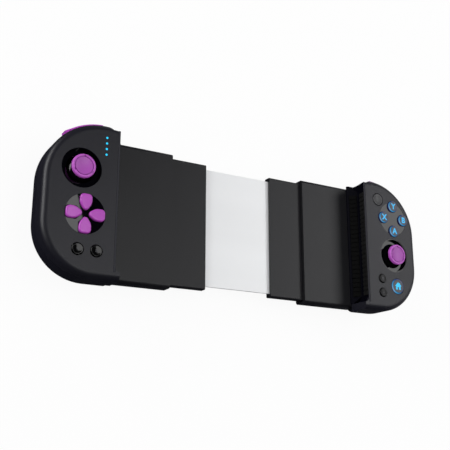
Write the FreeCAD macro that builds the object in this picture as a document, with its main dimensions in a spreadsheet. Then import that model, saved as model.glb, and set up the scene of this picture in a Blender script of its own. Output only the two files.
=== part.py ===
"""Telescopic phone gamepad, built as one parametric document.

The pad lies on its back. X runs along its length with the left grip at minus X,
Y runs towards the shoulder buttons and Z out of the face. The origin is under the
middle of the pad, on the surface that it rests on. Every length is in millimetres.
"""

import FreeCAD, Part

import math
import os

import Sketcher

Vector = FreeCAD.Vector
LEFT = -1
RIGHT = 1

# How far a cutting shape runs past the piece that it opens
PAST = 1.0

# How far a block that divides a grip in two runs past the grip
FAR = 6.0

# Lengths and places closer than this count as the same
SAME = 1e-4

BRIDGE_SIZES = {
    "plate_half_width": 37.2,       # half of the plate across the pad
    "plate_half_length": 38.5,      # from the middle to the plate's end
    "plate_thick": 1.5,
    "plate_stop_length": 2.4,       # folded stop behind each sleeve mouth
    "plate_stop_rise": 0.65,        # how far the stop stands off the plate's face
    "plate_side_room": 1.3,         # free width beside the plate inside a sleeve
    "sleeve_stroke": 23.0,          # how far a sleeve slides over the plate
    "grip_stroke": 24.0,            # how far a housing slides over its sleeve
    "sleeve_stop_gap": 0.5,         # from the middle to a sleeve, pushed right in
    "housing_stop_gap": 0.8,        # from the middle to a housing, pushed right in
    "sleeve_wall": 1.1,
    "sleeve_lip": 2.0,              # depth of the narrow mouth
    "sleeve_edge": 0.9,             # rounding of the long edges
    "collar_rise": 0.9,             # thick outer end that the housing holds back
    "collar_extra_width": 0.4,
    "housing_wall": 1.2,
    "housing_end_wall": 0.75,
    "housing_lip": 2.0,
    "housing_edge": 2.0,            # rounding of the long edges
    "tongue_half_width": 28.0,      # tongue that hooks into the grip
    "tongue_half_height": 3.0,
    "tongue_hook": 3.0,             # how much wider the hook is, each side
    "tongue_hook_thick": 2.3,
    "slide_gap": 0.3,               # clearance between telescoping pieces
}

GRIP_SIZES = {
    "back_level": -5.2,             # flat back, measured from the plate's middle
    "face_level": 20.2,
    "grip_inner": 88.0,             # inner edge of the face
    "grip_outer": 131.0,            # straight outer side
    "top_radius": 35.0,
    "top_centre_y": 10.0,
    "bottom_radius": 31.0,
    "bottom_centre_y": -13.0,
    "shell_wall": 2.0,
    "face_round": 3.8,
    "back_round": 9.0,
    "seam_level": 8.5,              # joint between the two shells
    "seam_bend_y": -8.0,            # below this the joint curves up
    "seam_radius": 98.0,
    "seam_half_gap": 0.12,
    "ledge_reach": 2.7,             # end wall of the cradle, past the face's inner edge
    "ledge_depth": 4.75,            # the same wall across, from the bottom edge
    "cradle_top_gap": 2.3,          # from the top of the D shape to the cradle's end
    "cradle_ramp": 4.6,             # slope at each end of the cradle's lower face
    "cradle_ramp_foot": 1.0,        # foot of that slope, above the cradle's lip
    "corner_short": 1.2,            # from the top arc's middle to the slanted corner
    "cradle_lip": 3.5,              # how far the cradle reaches past the face's edge
    "cradle_nose": 0.7,
    "cradle_valley_depth": 1.5,     # how far the groove goes in behind the face's edge
    "cradle_valley_z": 11.5,
    "cradle_thick": 2.5,            # behind the bottom of the groove
    "cradle_rim": 1.2,              # strip of cradle beside the face
    "swell_middle_x": 109.0,
    "swell_radius": 15.0,
    "swell_half_run": 14.0,         # half the straight run of the palm swell
    "swell_depth": 5.5,
    "swell_round": 4.4,
    "foot_margin": 2.6,             # flat left free round a foot
    "foot_half_run": 9.0,
    "foot_proud": 0.5,
    "foot_sunk": 0.65,
    "boss_lift": 0.6,               # bosses start this far above the floor inside
    "post_radius": 2.1,
    "post_parting": 8.0,            # where the two halves of a screw post meet
    "screw_shank": 0.8,
    "screw_head": 1.35,
    "screw_head_thick": 1.0,
    "screw_head_level": -1.7,       # underside of the sunk head
    "screw_end": 14.0,
    "fit_gap": 0.05,                # parts of one grip that are fixed together
    "run_gap": 0.3,                 # parts that move past each other
}

STRIP_SIZES = {
    "strip_length": 70.0,
    "strip_start_gap": 4.75,        # from the end wall of the cradle to a strip
    "strip_embed": 0.7,
    "strip_proud": 0.5,
    "strip_groove": 0.85,
    "strip_groove_depth": 0.45,
    "strip_rib_count": 23,
    "lower_strip_start": 0.22,      # along the lower facet, as a share of it
    "lower_strip_end": 0.91,
    "upper_strip_start": 0.32,
    "upper_strip_end": 0.92,
}

CONTROL_SIZES = {
    "button_stem": 1.8,
    "button_flange": 0.85,          # how far a flange reaches past its button
    "flange_thick": 1.0,
    "press_travel": 0.8,
    "disc_radius": 11.3,
    "disc_recess": 1.2,
    "disc_thick": 1.0,
    "face_button_radius": 3.85,
    "face_button_top": 1.3,         # tops are measured up from the face
    "button_round": 0.6,
    "face_spread_x": 8.45,
    "face_spread_y": 8.7,
    "face_disc_x": 112.1,
    "face_disc_y": 19.8,
    "home_x": 112.9,
    "home_y": -26.9,
    "home_radius": 5.05,
    "home_top": 0.7,
    "plain_x": 99.7,
    "plain_y": 31.85,
    "plain_radius": 4.15,
    "plain_top": 0.5,
    "plain_dish": 0.3,
    "menu_radius": 2.9,
    "menu_top": 0.75,
    "menu_x": 100.15,
    "menu_upper_y": -22.75,
    "menu_lower_y": -32.1,
    "domed_radius": 3.3,
    "domed_top": 0.6,
    "domed_inner_x": 99.4,
    "domed_outer_x": 110.0,
    "domed_y": -28.9,
    "dome_rise": 0.6,
    "dpad_x": 106.7,
    "dpad_y": -9.0,
    "dpad_tip": 2.0,                # from the middle of the pad to a tip
    "dpad_tip_half": 0.5,
    "dpad_shoulder": 5.1,
    "dpad_end": 11.1,
    "dpad_half_width": 3.45,
    "dpad_corner": 2.0,
    "dpad_top": 1.4,
    "dpad_round": 0.8,
    "led_x": 96.1,
    "led_first_y": 26.9,
    "led_pitch": 3.35,
    "led_radius": 0.62,
    "led_count": 4,
    "guide_half_width": 1.1,
    "guide_thick": 1.0,
}

STICK_SIZES = {
    "left_stick_x": 109.9,
    "left_stick_y": 16.8,
    "right_stick_x": 111.4,
    "right_stick_y": -5.9,
    "well_hole": 11.5,
    "well_wall": 0.4,
    "well_lip": 0.35,               # how far the well's flange reaches under the face
    "well_sunk": 0.2,               # from the face down to the well's rim
    "well_depth": 2.6,              # from the face down to the well's floor
    "well_floor_thick": 0.6,
    "well_opening": 8.3,
    "pivot_rise": 5.0,              # from the board up to the pivot
    "dome_radius": 9.5,
    "dome_wall": 0.8,
    "dome_reach": 62.0,             # degrees from the stick's axis
    "shaft_radius": 1.0,
    "shaft_drop": 1.6,              # how far the shaft reaches below its pivot
    "collar_low": 5.6,
    "collar_high": 6.4,
    "collar_step": 0.75,            # height of the wide step under the cap
    "neck_radius": 2.0,
    "neck_reach": 1.3,              # how far the neck goes up into the cap
    "cap_radius": 6.75,
    "cap_lift": 1.2,                # from the face up to the cap
    "cap_seat_gap": 0.05,
    "cap_thick": 2.7,
    "cap_round": 0.9,
    "cap_chamfer": 0.6,
    "cap_groove_radius": 5.2,
    "cap_groove_width": 0.35,
    "cap_groove_depth": 0.5,
    "cap_dish": 0.7,
    "module_half": 5.5,
    "module_wall": 0.8,
    "module_height": 7.55,
    "module_opening": 3.2,
    "sensor_half": 2.5,
    "sensor_depth": 1.8,
    "sensor_height": 4.35,
    "carriage_half_height": 0.8,
    "carriage_wall": 0.9,
    "yoke_wall": 1.1,
    "yoke_gap": 0.2,                # between the yoke and the frame round it
    "yoke_half_height": 0.6,
    "yoke_pin": 0.45,
    "shaft_pin": 0.4,
    "pin_gap": 0.05,
}

SHOULDER_SIZES = {
    "shoulder_from": 57.0,          # degrees round the top arc from the outer side
    "shoulder_to": 88.0,
    "shoulder_end_gap": 2.0,        # degrees left free at each end of the slot
    "shoulder_parting": 0.5,        # between the trigger and the bumper above it
    "bumper_proud": 1.2,            # how far it stands out of the grip's side
    "bumper_height": 7.1,
    "bumper_round": 0.7,
    "bumper_flange": 1.3,
    "bumper_flange_reach": 1.1,     # how far the flange passes the top of the slot
    "bumper_flange_trim": 1.0,      # degrees by which the flange is the shorter
    "trigger_proud": 3.0,
    "trigger_short": 8.0,           # degrees by which it ends before the bumper
    "trigger_end_gap": 3.2,         # degrees; its free end swings towards the slot's end
    "trigger_low": 0.5,
    "trigger_height": 7.7,
    "trigger_round": 1.4,
    "trigger_inset": 0.6,           # lap of the paddle on its arm
    "trigger_arm_gap": 1.8,         # from the shell's inner side to the arm
    "trigger_arm_thick": 3.3,
    "trigger_arm_lap": 6.0,         # degrees of the arm under the paddle
    "pivot_angle": 44.0,
    "pivot_inset": 1.7,             # from the arm's outer side to its pin
    "pivot_pin": 0.9,
    "pivot_knuckle": 1.6,
    "pivot_block": 3.2,
    "pivot_block_shift": 1.5,       # the block under the face stands nearer the wall
    "pivot_block_cover": 0.8,       # material above the pin's upper end
    "pivot_pin_down": 1.9,          # how far the pin passes the trigger
    "pivot_pin_up": 2.6,
}

BOARD_SIZES = {
    "board_top": 6.0,
    "board_thick": 1.2,
    "board_side_gap": 0.7,          # between the board and the screw posts
    "board_cradle_gap": 1.0,
    "switch_radius": 1.5,
    "switch_height": 1.9,
    "standoff_radius": 1.5,
    "battery_side_gap": 0.6,
    "battery_overrun": 1.0,         # how far it runs into the round ends of the swell
    "battery_thick": 5.6,
    "battery_round": 1.5,
    "port_y": -2.0,
    "port_half_width": 4.45,
    "port_low": 4.9,
    "port_height": 3.2,
    "port_length": 6.5,
    "port_shelf_low": -2.2,
    "port_wall": 0.3,
    "port_back_wall": 0.9,
    "port_tongue": 3.3,
    "port_tongue_thick": 0.7,
    "port_tongue_short": 1.2,       # from the mouth back to the tongue
}

SCREW_SIZES = {
    "screw_edge": 6.2,              # from the outer side to a screw
    "screw_side_y": 9.0,
    "screw_corner_angle": -19.0,    # degrees round the bottom arc
    "screw_top_inward": 6.3,        # from the face's inner edge
    "screw_top_edge": 4.7,          # from the top of the D shape
    "screw_bottom_inward": 7.3,
    "screw_bottom_edge": 6.0,
}

# Standoffs that carry the board of one grip
STANDOFF_PLACES = {
    "upper": (103.5, 32.0),
    "lower": (103.0, -33.0),
    "inner": (94.9, 0.0),
}

# Direction keys in the order of quarter turns, with the way that each one points
KEY_WAYS = (
    ("dpad_right", 1, 0),
    ("dpad_up", 0, 1),
    ("dpad_left", -1, 0),
    ("dpad_down", 0, -1),
)


class Size:
    """A number together with the sheet formula that it comes from."""

    def __init__(self, value, text):
        self.value = float(value)
        self.text = text

    def joined(self, other, sign, value):
        other_text = other.text if isinstance(other, Size) else repr(float(other))
        return Size(value, "(" + self.text + " " + sign + " " + other_text + ")")

    def __add__(self, other):
        return self.joined(other, "+", self.value + number(other))

    def __sub__(self, other):
        return self.joined(other, "-", self.value - number(other))

    def __mul__(self, other):
        return self.joined(other, "*", self.value * number(other))

    def __truediv__(self, other):
        return self.joined(other, "/", self.value / number(other))

    __radd__ = __add__
    __rmul__ = __mul__

    def __neg__(self):
        return self * -1


def number(item):
    return item.value if isinstance(item, Size) else float(item)


def size_of(item):
    return item if isinstance(item, Size) else Size(item, repr(float(item)))


def root(item):
    return Size(math.sqrt(item.value), "sqrt(" + item.text + ")")


def cosine(item):
    return Size(math.cos(math.radians(item.value)), "cos(" + item.text + ")")


def sine(item):
    return Size(math.sin(math.radians(item.value)), "sin(" + item.text + ")")


class Dimensions:
    """The driving dimensions, as cells of a sheet and as Size values."""

    def __init__(self, document, groups):
        self.cells = {}
        sheet = document.addObject("Spreadsheet::Sheet", "Dims")
        row = 1
        for group in groups:
            for name, value in group.items():
                sheet.set("A%d" % row, name)
                sheet.set("B%d" % row, str(value))
                sheet.setAlias("B%d" % row, name)
                self.cells[name] = Size(value, "Dims." + name)
                row += 1

    def __getattr__(self, name):
        return self.cells[name]


def place_sizes(places, prefix):
    """Turn named places into driving dimensions of their own."""
    sizes = {}
    for name, (along, across) in places.items():
        sizes[prefix + "_" + name + "_x"] = along
        sizes[prefix + "_" + name + "_y"] = across
    return sizes


DOC = FreeCAD.newDocument("phone_gamepad")
D = Dimensions(DOC, [
    BRIDGE_SIZES,
    GRIP_SIZES,
    STRIP_SIZES,
    CONTROL_SIZES,
    STICK_SIZES,
    SHOULDER_SIZES,
    BOARD_SIZES,
    SCREW_SIZES,
    place_sizes(STANDOFF_PLACES, "standoff"),
])
DOC.recompute()

NODES = {}


def side_name(side):
    return "left" if side == LEFT else "right"


def swell_floor():
    return D.back_level - D.swell_depth


def floor_level():
    """Lowest point of the pad, under the rubber feet."""
    return swell_floor() - D.foot_proud


def bottom_edge():
    return D.bottom_centre_y - D.bottom_radius


def trigger_radius():
    return D.top_radius + D.trigger_proud


def middle_y():
    """Middle of the pad's outline across, from the triggers to the bottom edge."""
    return (D.top_centre_y + trigger_radius() + bottom_edge()) / 2


def under_face():
    """Inner side of the front shell's face."""
    return D.face_level - D.shell_wall


def sleeve_mouth():
    """Where a sleeve starts with the bridge pulled right out."""
    return D.sleeve_stroke + D.sleeve_stop_gap


def housing_mouth():
    return D.sleeve_stroke + D.grip_stroke + D.housing_stop_gap


def housing_pocket_end():
    return D.grip_inner - D.fit_gap - D.housing_end_wall


def sleeve_end():
    return housing_pocket_end() - D.slide_gap - D.grip_stroke


def sleeve_half_width():
    return D.plate_half_width + D.plate_side_room + D.sleeve_wall


def sleeve_half_height():
    return D.plate_thick / 2 + D.plate_stop_rise + D.slide_gap + D.sleeve_wall


def collar_half_width():
    return sleeve_half_width() + D.collar_extra_width


def collar_half_height():
    return sleeve_half_height() + D.collar_rise


def housing_half_width():
    return collar_half_width() + D.slide_gap + D.housing_wall


def housing_half_height():
    return collar_half_height() + D.slide_gap + D.housing_wall


def cradle_base():
    """Underside of the cradle, just above the housing."""
    return housing_half_height() + D.fit_gap * 2


def cradle_back():
    return D.grip_inner + D.cradle_valley_depth + D.cradle_thick


def cradle_top_y():
    return D.top_centre_y + D.top_radius - D.cradle_top_gap


def ledge_inner():
    return D.grip_inner - D.ledge_reach


def ledge_top_y():
    return bottom_edge() + D.ledge_depth


def strip_start_y():
    return ledge_top_y() + D.strip_start_gap


def button_foot():
    """Lowest point of every button, a full press above its switch."""
    return D.board_top + D.switch_height + D.press_travel + D.run_gap


def pivot_level():
    return D.board_top + D.pivot_rise


def trigger_high():
    return D.trigger_low + D.trigger_height


def bumper_low():
    return trigger_high() + D.shoulder_parting


def bumper_high():
    return bumper_low() + D.bumper_height


def arm_outer():
    """Outer radius of the trigger's arm, inside the shell."""
    return D.top_radius - D.shell_wall - D.trigger_arm_gap


def arm_inner():
    return arm_outer() - D.trigger_arm_thick


def pivot_radius():
    return arm_outer() - D.pivot_inset


def pin_low():
    return D.trigger_low - D.pivot_pin_down


def pin_high():
    return trigger_high() + D.pivot_pin_up


def port_start():
    return D.grip_outer - D.fit_gap - D.port_length


def foot_radius():
    return D.swell_radius - D.swell_round - D.foot_margin


def screw_places(side):
    """Middle of each screw of a grip, by its name."""
    corner = D.bottom_radius - D.screw_edge
    corner_x = D.grip_outer - D.bottom_radius + cosine(D.screw_corner_angle) * corner
    corner_y = D.bottom_centre_y + sine(D.screw_corner_angle) * corner
    top_y = D.top_centre_y + D.top_radius - D.screw_top_edge
    places = {
        "side": (D.grip_outer - D.screw_edge, D.screw_side_y),
        "corner": (corner_x, corner_y),
        "top": (D.grip_inner + D.screw_top_inward, top_y),
        "bottom": (D.grip_inner + D.screw_bottom_inward, bottom_edge() + D.screw_bottom_edge),
    }
    return {name: (along * side, across) for name, (along, across) in places.items()}


def finish(name, item):
    """Name a finished piece and stand the pad on its origin."""
    item.Label = name
    item.setExpression("Placement.Base.y", (-middle_y()).text)
    item.setExpression("Placement.Base.z", (-floor_level()).text)
    NODES[name] = item
    return item


def finish_at(name, item, along, across):
    """Name a finished piece that was drawn about its own axis."""
    item.Label = name
    item.setExpression("Placement.Base.x", size_of(along).text)
    item.setExpression("Placement.Base.y", (size_of(across) - middle_y()).text)
    item.setExpression("Placement.Base.z", (-floor_level()).text)
    NODES[name] = item
    return item


def box(name, x_range, y_range, z_range, side=RIGHT):
    """A block between two values on each axis; X is mirrored for the left side."""
    x_low, x_high = x_range
    if side == LEFT:
        x_low, x_high = -size_of(x_high), -size_of(x_low)
    item = DOC.addObject("Part::Box", name)
    for axis, length, low, high in (
        ("x", "Length", x_low, x_high),
        ("y", "Width", y_range[0], y_range[1]),
        ("z", "Height", z_range[0], z_range[1]),
    ):
        low = size_of(low)
        item.setExpression(length, (size_of(high) - low).text)
        item.setExpression("Placement.Base." + axis, low.text)
    return item


def rod(name, x, y, radius, z_low, z_high):
    """An upright cylinder."""
    item = DOC.addObject("Part::Cylinder", name)
    z_low = size_of(z_low)
    item.setExpression("Radius", size_of(radius).text)
    item.setExpression("Height", (size_of(z_high) - z_low).text)
    item.setExpression("Placement.Base.x", size_of(x).text)
    item.setExpression("Placement.Base.y", size_of(y).text)
    item.setExpression("Placement.Base.z", z_low.text)
    return item


def axle(name, axis, start, end, height, radius):
    """A cylinder along X or Y through the piece's own axis, at one height."""
    item = DOC.addObject("Part::Cylinder", name)
    turn = FreeCAD.Rotation(Vector(0, 1, 0), 90)
    if axis == "y":
        turn = FreeCAD.Rotation(Vector(1, 0, 0), -90)
    item.Placement = FreeCAD.Placement(Vector(0, 0, 0), turn)
    start = size_of(start)
    item.setExpression("Radius", size_of(radius).text)
    item.setExpression("Height", (size_of(end) - start).text)
    item.setExpression("Placement.Base." + axis, start.text)
    item.setExpression("Placement.Base.z", size_of(height).text)
    return item


def fuse(name, items):
    if len(items) == 1:
        return items[0]
    item = DOC.addObject("Part::MultiFuse", name)
    item.Shapes = items
    return item


def cut(name, base, tools):
    item = DOC.addObject("Part::Cut", name)
    item.Base = base
    item.Tool = fuse(name + "_tools", tools)
    return item


def origin_feature(body, role):
    for feature in body.Origin.OriginFeatures:
        if feature.Role == role:
            return feature
    raise ValueError(role)


def new_body(name):
    return DOC.addObject("PartDesign::Body", name)


def new_sketch(body, name, plane, level):
    sketch = body.newObject("Sketcher::SketchObject", name)
    sketch.AttachmentSupport = (origin_feature(body, plane), [""])
    sketch.MapMode = "FlatFace"
    sketch.setExpression("AttachmentOffset.Base.z", size_of(level).text)
    return sketch


def draw(sketch, path):
    """Draw a closed outline.

    The path is a list of corners (u, v) or (u, v, arc), where arc is
    (centre u, centre v, radius, clockwise) for the stretch that leaves the corner.
    An arc turns by less than a half circle. Each corner and each radius is bound
    to the sheet.
    """
    corners = [(size_of(corner[0]), size_of(corner[1])) for corner in path]
    ends = []
    for index, corner in enumerate(path):
        start = corners[index]
        end = corners[(index + 1) % len(path)]
        if len(corner) == 2:
            line = Part.LineSegment(flat_point(start), flat_point(end))
            ends.append((sketch.addGeometry(line), 1, 2))
            continue
        centre_u, centre_v, radius, clockwise = corner[2]
        middle = flat_point((size_of(centre_u), size_of(centre_v)))
        first, last = (end, start) if clockwise else (start, end)
        first_angle = angle_from(middle, flat_point(first))
        last_angle = angle_from(middle, flat_point(last))
        if last_angle <= first_angle:
            last_angle += 2 * math.pi
        circle = Part.Circle(middle, Vector(0, 0, 1), number(radius))
        edge = sketch.addGeometry(Part.ArcOfCircle(circle, first_angle, last_angle))
        ends.append((edge, 2, 1) if clockwise else (edge, 1, 2))
        bind(sketch, Sketcher.Constraint("Radius", edge, number(radius)), radius)
    for index, (edge, start_end, far_end) in enumerate(ends):
        next_edge, next_start, next_far = ends[(index + 1) % len(ends)]
        sketch.addConstraint(Sketcher.Constraint("Coincident", edge, far_end, next_edge, next_start))
        for kind, value in zip(("DistanceX", "DistanceY"), corners[index]):
            rule = Sketcher.Constraint(kind, -1, 1, edge, start_end, value.value)
            bind(sketch, rule, value)


def bind(sketch, rule, value):
    index = sketch.addConstraint(rule)
    sketch.setExpression("Constraints[%d]" % index, size_of(value).text)


def flat_point(corner):
    return Vector(corner[0].value, corner[1].value, 0)


def angle_from(middle, point):
    return math.atan2(point.y - middle.y, point.x - middle.x)


def pad(body, sketch, length, both_ways=False, backwards=False):
    item = body.newObject("PartDesign::Pad", sketch.Name + "_pad")
    item.Profile = sketch
    item.Midplane = both_ways
    item.Reversed = backwards
    item.setExpression("Length", size_of(length).text)
    return item


def pocket(body, sketch, length, both_ways=False, backwards=False):
    item = body.newObject("PartDesign::Pocket", sketch.Name + "_pocket")
    item.Profile = sketch
    item.Midplane = both_ways
    item.Reversed = backwards
    item.setExpression("Length", size_of(length).text)
    return item


def turned(name, path):
    """A body of revolution about its own upright axis, from (radius, height) corners."""
    body = new_body(name)
    sketch = new_sketch(body, name + "_profile", "XZ_Plane", 0)
    draw(sketch, path)
    item = body.newObject("PartDesign::Revolution", name + "_turn")
    item.Profile = sketch
    item.ReferenceAxis = (sketch, ["V_Axis"])
    item.Angle = 360
    return body


def round_edges(body, base, radius, chosen):
    """Fillet the edges of a feature for which the chosen test holds."""
    DOC.recompute()
    names = []
    for index, edge in enumerate(base.Shape.Edges):
        if chosen(edge):
            names.append("Edge%d" % (index + 1))
    if not names:
        raise ValueError("no edge to round on " + base.Name)
    item = body.newObject("PartDesign::Fillet", base.Name + "_round")
    item.Base = (base, names)
    item.setExpression("Radius", size_of(radius).text)
    return item


def near(value, target):
    return abs(value - number(target)) < SAME


def runs_along_x(edge):
    bounds = edge.BoundBox
    return bounds.XLength > SAME and bounds.YLength < SAME and bounds.ZLength < SAME


def at_height(edge, level):
    bounds = edge.BoundBox
    return near(bounds.ZMin, level) and near(bounds.ZMax, level)


def rectangle(x_range, y_range, side=RIGHT):
    x_low, x_high = (size_of(value) * side for value in x_range)
    y_low, y_high = y_range
    return [(x_low, y_low), (x_high, y_low), (x_high, y_high), (x_low, y_high)]


def stadium(x, half_run, radius):
    """Two half circles, each of two quarter arcs, joined by straight runs along Y."""
    upper = (x, half_run, radius, False)
    lower = (x, -half_run, radius, False)
    return [
        (x + radius, -half_run),
        (x + radius, half_run, upper),
        (x, half_run + radius, upper),
        (x - radius, half_run),
        (x - radius, -half_run, lower),
        (x, -half_run - radius, lower),
    ]


def grip_outline(side, inner, inset):
    """The D shape of a grip, drawn in by an inset and closed at an inner line."""
    inner = size_of(inner)
    top_x = D.grip_outer - D.top_radius
    top = D.top_radius - inset
    bottom_x = D.grip_outer - D.bottom_radius
    bottom = D.bottom_radius - inset
    start_y = D.top_centre_y + root(top * top - (top_x - inner) * (top_x - inner))
    outer = D.grip_outer - inset
    clockwise = side == RIGHT
    return [
        (inner * side, start_y, (top_x * side, D.top_centre_y, top, clockwise)),
        (outer * side, D.top_centre_y),
        (outer * side, D.bottom_centre_y,
         (bottom_x * side, D.bottom_centre_y, bottom, clockwise)),
        (bottom_x * side, D.bottom_centre_y - bottom),
        (inner * side, D.bottom_centre_y - bottom),
    ]


def arc_sector(side, inner, outer, angle_from_x, angle_to):
    """A piece of ring about the middle of the grip's top arc."""
    middle_x = (D.grip_outer - D.top_radius) * side
    middle_across = D.top_centre_y
    turn = side == LEFT

    def corner(radius, angle):
        along = middle_x + cosine(angle) * radius * side
        return along, middle_across + sine(angle) * radius

    inner, outer = size_of(inner), size_of(outer)
    start_out, end_out = corner(outer, angle_from_x), corner(outer, angle_to)
    start_in, end_in = corner(inner, angle_from_x), corner(inner, angle_to)
    return [
        (start_out[0], start_out[1], (middle_x, middle_across, outer, turn)),
        end_out,
        (end_in[0], end_in[1], (middle_x, middle_across, inner, not turn)),
        start_in,
    ]


def on_radius(side, radius):
    """Tests whether a level edge ends on a circle about the grip's top arc."""
    middle_x = (D.grip_outer.value - D.top_radius.value) * side
    reach = number(radius)

    def chosen(edge):
        bounds = edge.BoundBox
        middle = Vector(middle_x, D.top_centre_y.value, bounds.ZMin)
        reaches = [vertex.Point.sub(middle).Length for vertex in edge.Vertexes]
        return bounds.ZLength < SAME and all(near(length, reach) for length in reaches)

    return chosen


def sector_body(name, side, inner, outer, angles, z_range):
    body = new_body(name)
    sketch = new_sketch(body, name + "_sector", "XY_Plane", z_range[0])
    draw(sketch, arc_sector(side, inner, outer, angles[0], angles[1]))
    pad(body, sketch, size_of(z_range[1]) - z_range[0])
    return body


def top_arc_place(side, radius, angle):
    """A place given by its radius and angle about the grip's top arc."""
    along = (D.grip_outer - D.top_radius + cosine(angle) * radius) * side
    return along, D.top_centre_y + sine(angle) * radius


def make_plate():
    """The aluminium plate in the middle, with a folded stop near each end."""
    half_thick = D.plate_thick / 2
    body = new_body("centre_plate")
    sketch = new_sketch(body, "plate_outline", "XY_Plane", -half_thick)
    whole = (-D.plate_half_length, D.plate_half_length)
    draw(sketch, rectangle(whole, (-D.plate_half_width, D.plate_half_width)))
    pad(body, sketch, D.plate_thick)
    stop_start = sleeve_mouth() + D.sleeve_lip + D.slide_gap
    stop_range = (stop_start, stop_start + D.plate_stop_length)
    for side in (LEFT, RIGHT):
        stop = new_sketch(body, side_name(side) + "_stop", "XY_Plane",
                          -half_thick - D.plate_stop_rise)
        across = (-D.plate_half_width, D.plate_half_width)
        draw(stop, rectangle(stop_range, across, side))
        pad(body, stop, D.plate_thick + D.plate_stop_rise * 2)
    finish("centre_plate", body)


def make_sleeve(side):
    """The flat tube that slides on the plate and into the housing."""
    name = side_name(side) + "_sleeve"
    height = sleeve_half_height()
    width = sleeve_half_width()
    body = new_body(name)
    outline = new_sketch(body, name + "_outline", "XY_Plane", -height)
    draw(outline, rectangle((sleeve_mouth(), sleeve_end()), (-width, width), side))
    tube = pad(body, outline, height * 2)
    round_edges(body, tube, D.sleeve_edge, runs_along_x)

    collar_height = collar_half_height()
    collar_width = collar_half_width()
    collar_start = housing_mouth() + D.housing_lip + D.slide_gap
    collar = new_sketch(body, name + "_collar", "XY_Plane", -collar_height)
    draw(collar, rectangle((collar_start, sleeve_end()), (-collar_width, collar_width), side))
    pad(body, collar, collar_height * 2)

    room_height = height - D.sleeve_wall
    room_start = sleeve_mouth() + D.sleeve_lip
    room_width = width - D.sleeve_wall
    room = new_sketch(body, name + "_room", "XY_Plane", room_height)
    draw(room, rectangle((room_start, sleeve_end() + PAST), (-room_width, room_width), side))
    pocket(body, room, room_height * 2)

    mouth_height = D.plate_thick / 2 + D.slide_gap
    mouth_start = sleeve_mouth() - PAST
    mouth_width = D.plate_half_width + D.slide_gap
    mouth = new_sketch(body, name + "_mouth", "XY_Plane", mouth_height)
    draw(mouth, rectangle((mouth_start, room_start), (-mouth_width, mouth_width), side))
    pocket(body, mouth, mouth_height * 2)
    finish(name, body)


def make_housing(side, half):
    """One half of the outer tray, with its half of the tongue that hooks the grip."""
    upper = half == "front"
    name = side_name(side) + "_housing_" + half
    body = new_body(name)
    outline = new_sketch(body, name + "_outline", "XY_Plane", 0)
    start = housing_mouth()
    end = D.grip_inner - D.fit_gap
    width = housing_half_width()
    height = housing_half_height()
    draw(outline, rectangle((start, end), (-width, width), side))
    tray = pad(body, outline, height, backwards=not upper)
    outside = height if upper else -height

    def outer_long_edge(edge):
        return runs_along_x(edge) and at_height(edge, outside)

    round_edges(body, tray, D.housing_edge, outer_long_edge)

    hook_start = D.grip_inner + D.shell_wall + D.fit_gap * 2
    hook_end = hook_start + D.tongue_hook_thick
    pocket_end = housing_pocket_end()
    tongue_width = D.tongue_half_width
    for part, along, reach in (
        ("tongue", (pocket_end, hook_end), tongue_width),
        ("hook", (hook_start, hook_end), tongue_width + D.tongue_hook),
    ):
        sketch = new_sketch(body, name + "_" + part, "XY_Plane", 0)
        draw(sketch, rectangle(along, (-reach, reach), side))
        pad(body, sketch, D.tongue_half_height, backwards=not upper)

    room_width = collar_half_width() + D.slide_gap
    room_start = start + D.housing_lip
    room = new_sketch(body, name + "_room", "XY_Plane", 0)
    draw(room, rectangle((room_start, pocket_end), (-room_width, room_width), side))
    pocket(body, room, height - D.housing_wall, backwards=upper)

    mouth_width = sleeve_half_width() + D.slide_gap
    mouth = new_sketch(body, name + "_mouth", "XY_Plane", 0)
    draw(mouth, rectangle((start - PAST, room_start), (-mouth_width, mouth_width), side))
    pocket(body, mouth, sleeve_half_height() + D.slide_gap, backwards=upper)
    finish(name, body)


def grip_block(name, side, inner, inset, z_range, rounded_level, radius):
    """A solid D block with one end's outline edges rounded."""
    body = new_body(name)
    sketch = new_sketch(body, name + "_outline", "XY_Plane", z_range[0])
    draw(sketch, grip_outline(side, inner, inset))
    block = pad(body, sketch, size_of(z_range[1]) - z_range[0])
    inner_value = number(inner)

    def chosen(edge):
        bounds = edge.BoundBox
        flat_inner = bounds.XLength < SAME and near(abs(bounds.XMin), inner_value)
        return at_height(edge, number(rounded_level)) and not flat_inner

    round_edges(body, block, radius, chosen)
    return body


def stadium_block(name, side, middle, half_run, radius, z_range, rounding):
    """A stadium block with its lower edge rounded."""
    body = new_body(name)
    sketch = new_sketch(body, name + "_outline", "XY_Plane", z_range[0])
    draw(sketch, stadium(middle * side, half_run, radius))
    block = pad(body, sketch, size_of(z_range[1]) - z_range[0])
    if rounding is not None:
        low = number(z_range[0])
        round_edges(body, block, rounding, lambda edge: at_height(edge, low))
    return body


def seam_block(name, side, above):
    """Everything above or below the joint between the two shells."""
    gap = D.seam_half_gap if above else -D.seam_half_gap
    level = D.seam_level - gap
    near_y = bottom_edge() - FAR
    far_y = D.top_centre_y + trigger_radius() + FAR
    run = D.seam_bend_y - near_y
    rise = D.seam_radius - root(D.seam_radius * D.seam_radius - run * run)
    end_z = D.face_level + FAR if above else swell_floor() - FAR
    body = new_body(name)
    sketch = new_sketch(body, name + "_side", "YZ_Plane", (D.grip_inner - PAST) * side)
    draw(sketch, [
        (far_y, level),
        (D.seam_bend_y, level,
         (D.seam_bend_y, level + D.seam_radius, D.seam_radius, True)),
        (near_y, level + rise),
        (near_y, end_z),
        (far_y, end_z),
    ])
    pad(body, sketch, D.grip_outer - D.grip_inner + FAR, backwards=side == LEFT)
    return body


def screw_posts(name, side, z_range, radius):
    posts = []
    for place, (along, across) in screw_places(side).items():
        posts.append(rod(name + "_" + place, along, across, radius, z_range[0], z_range[1]))
    return posts


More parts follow.
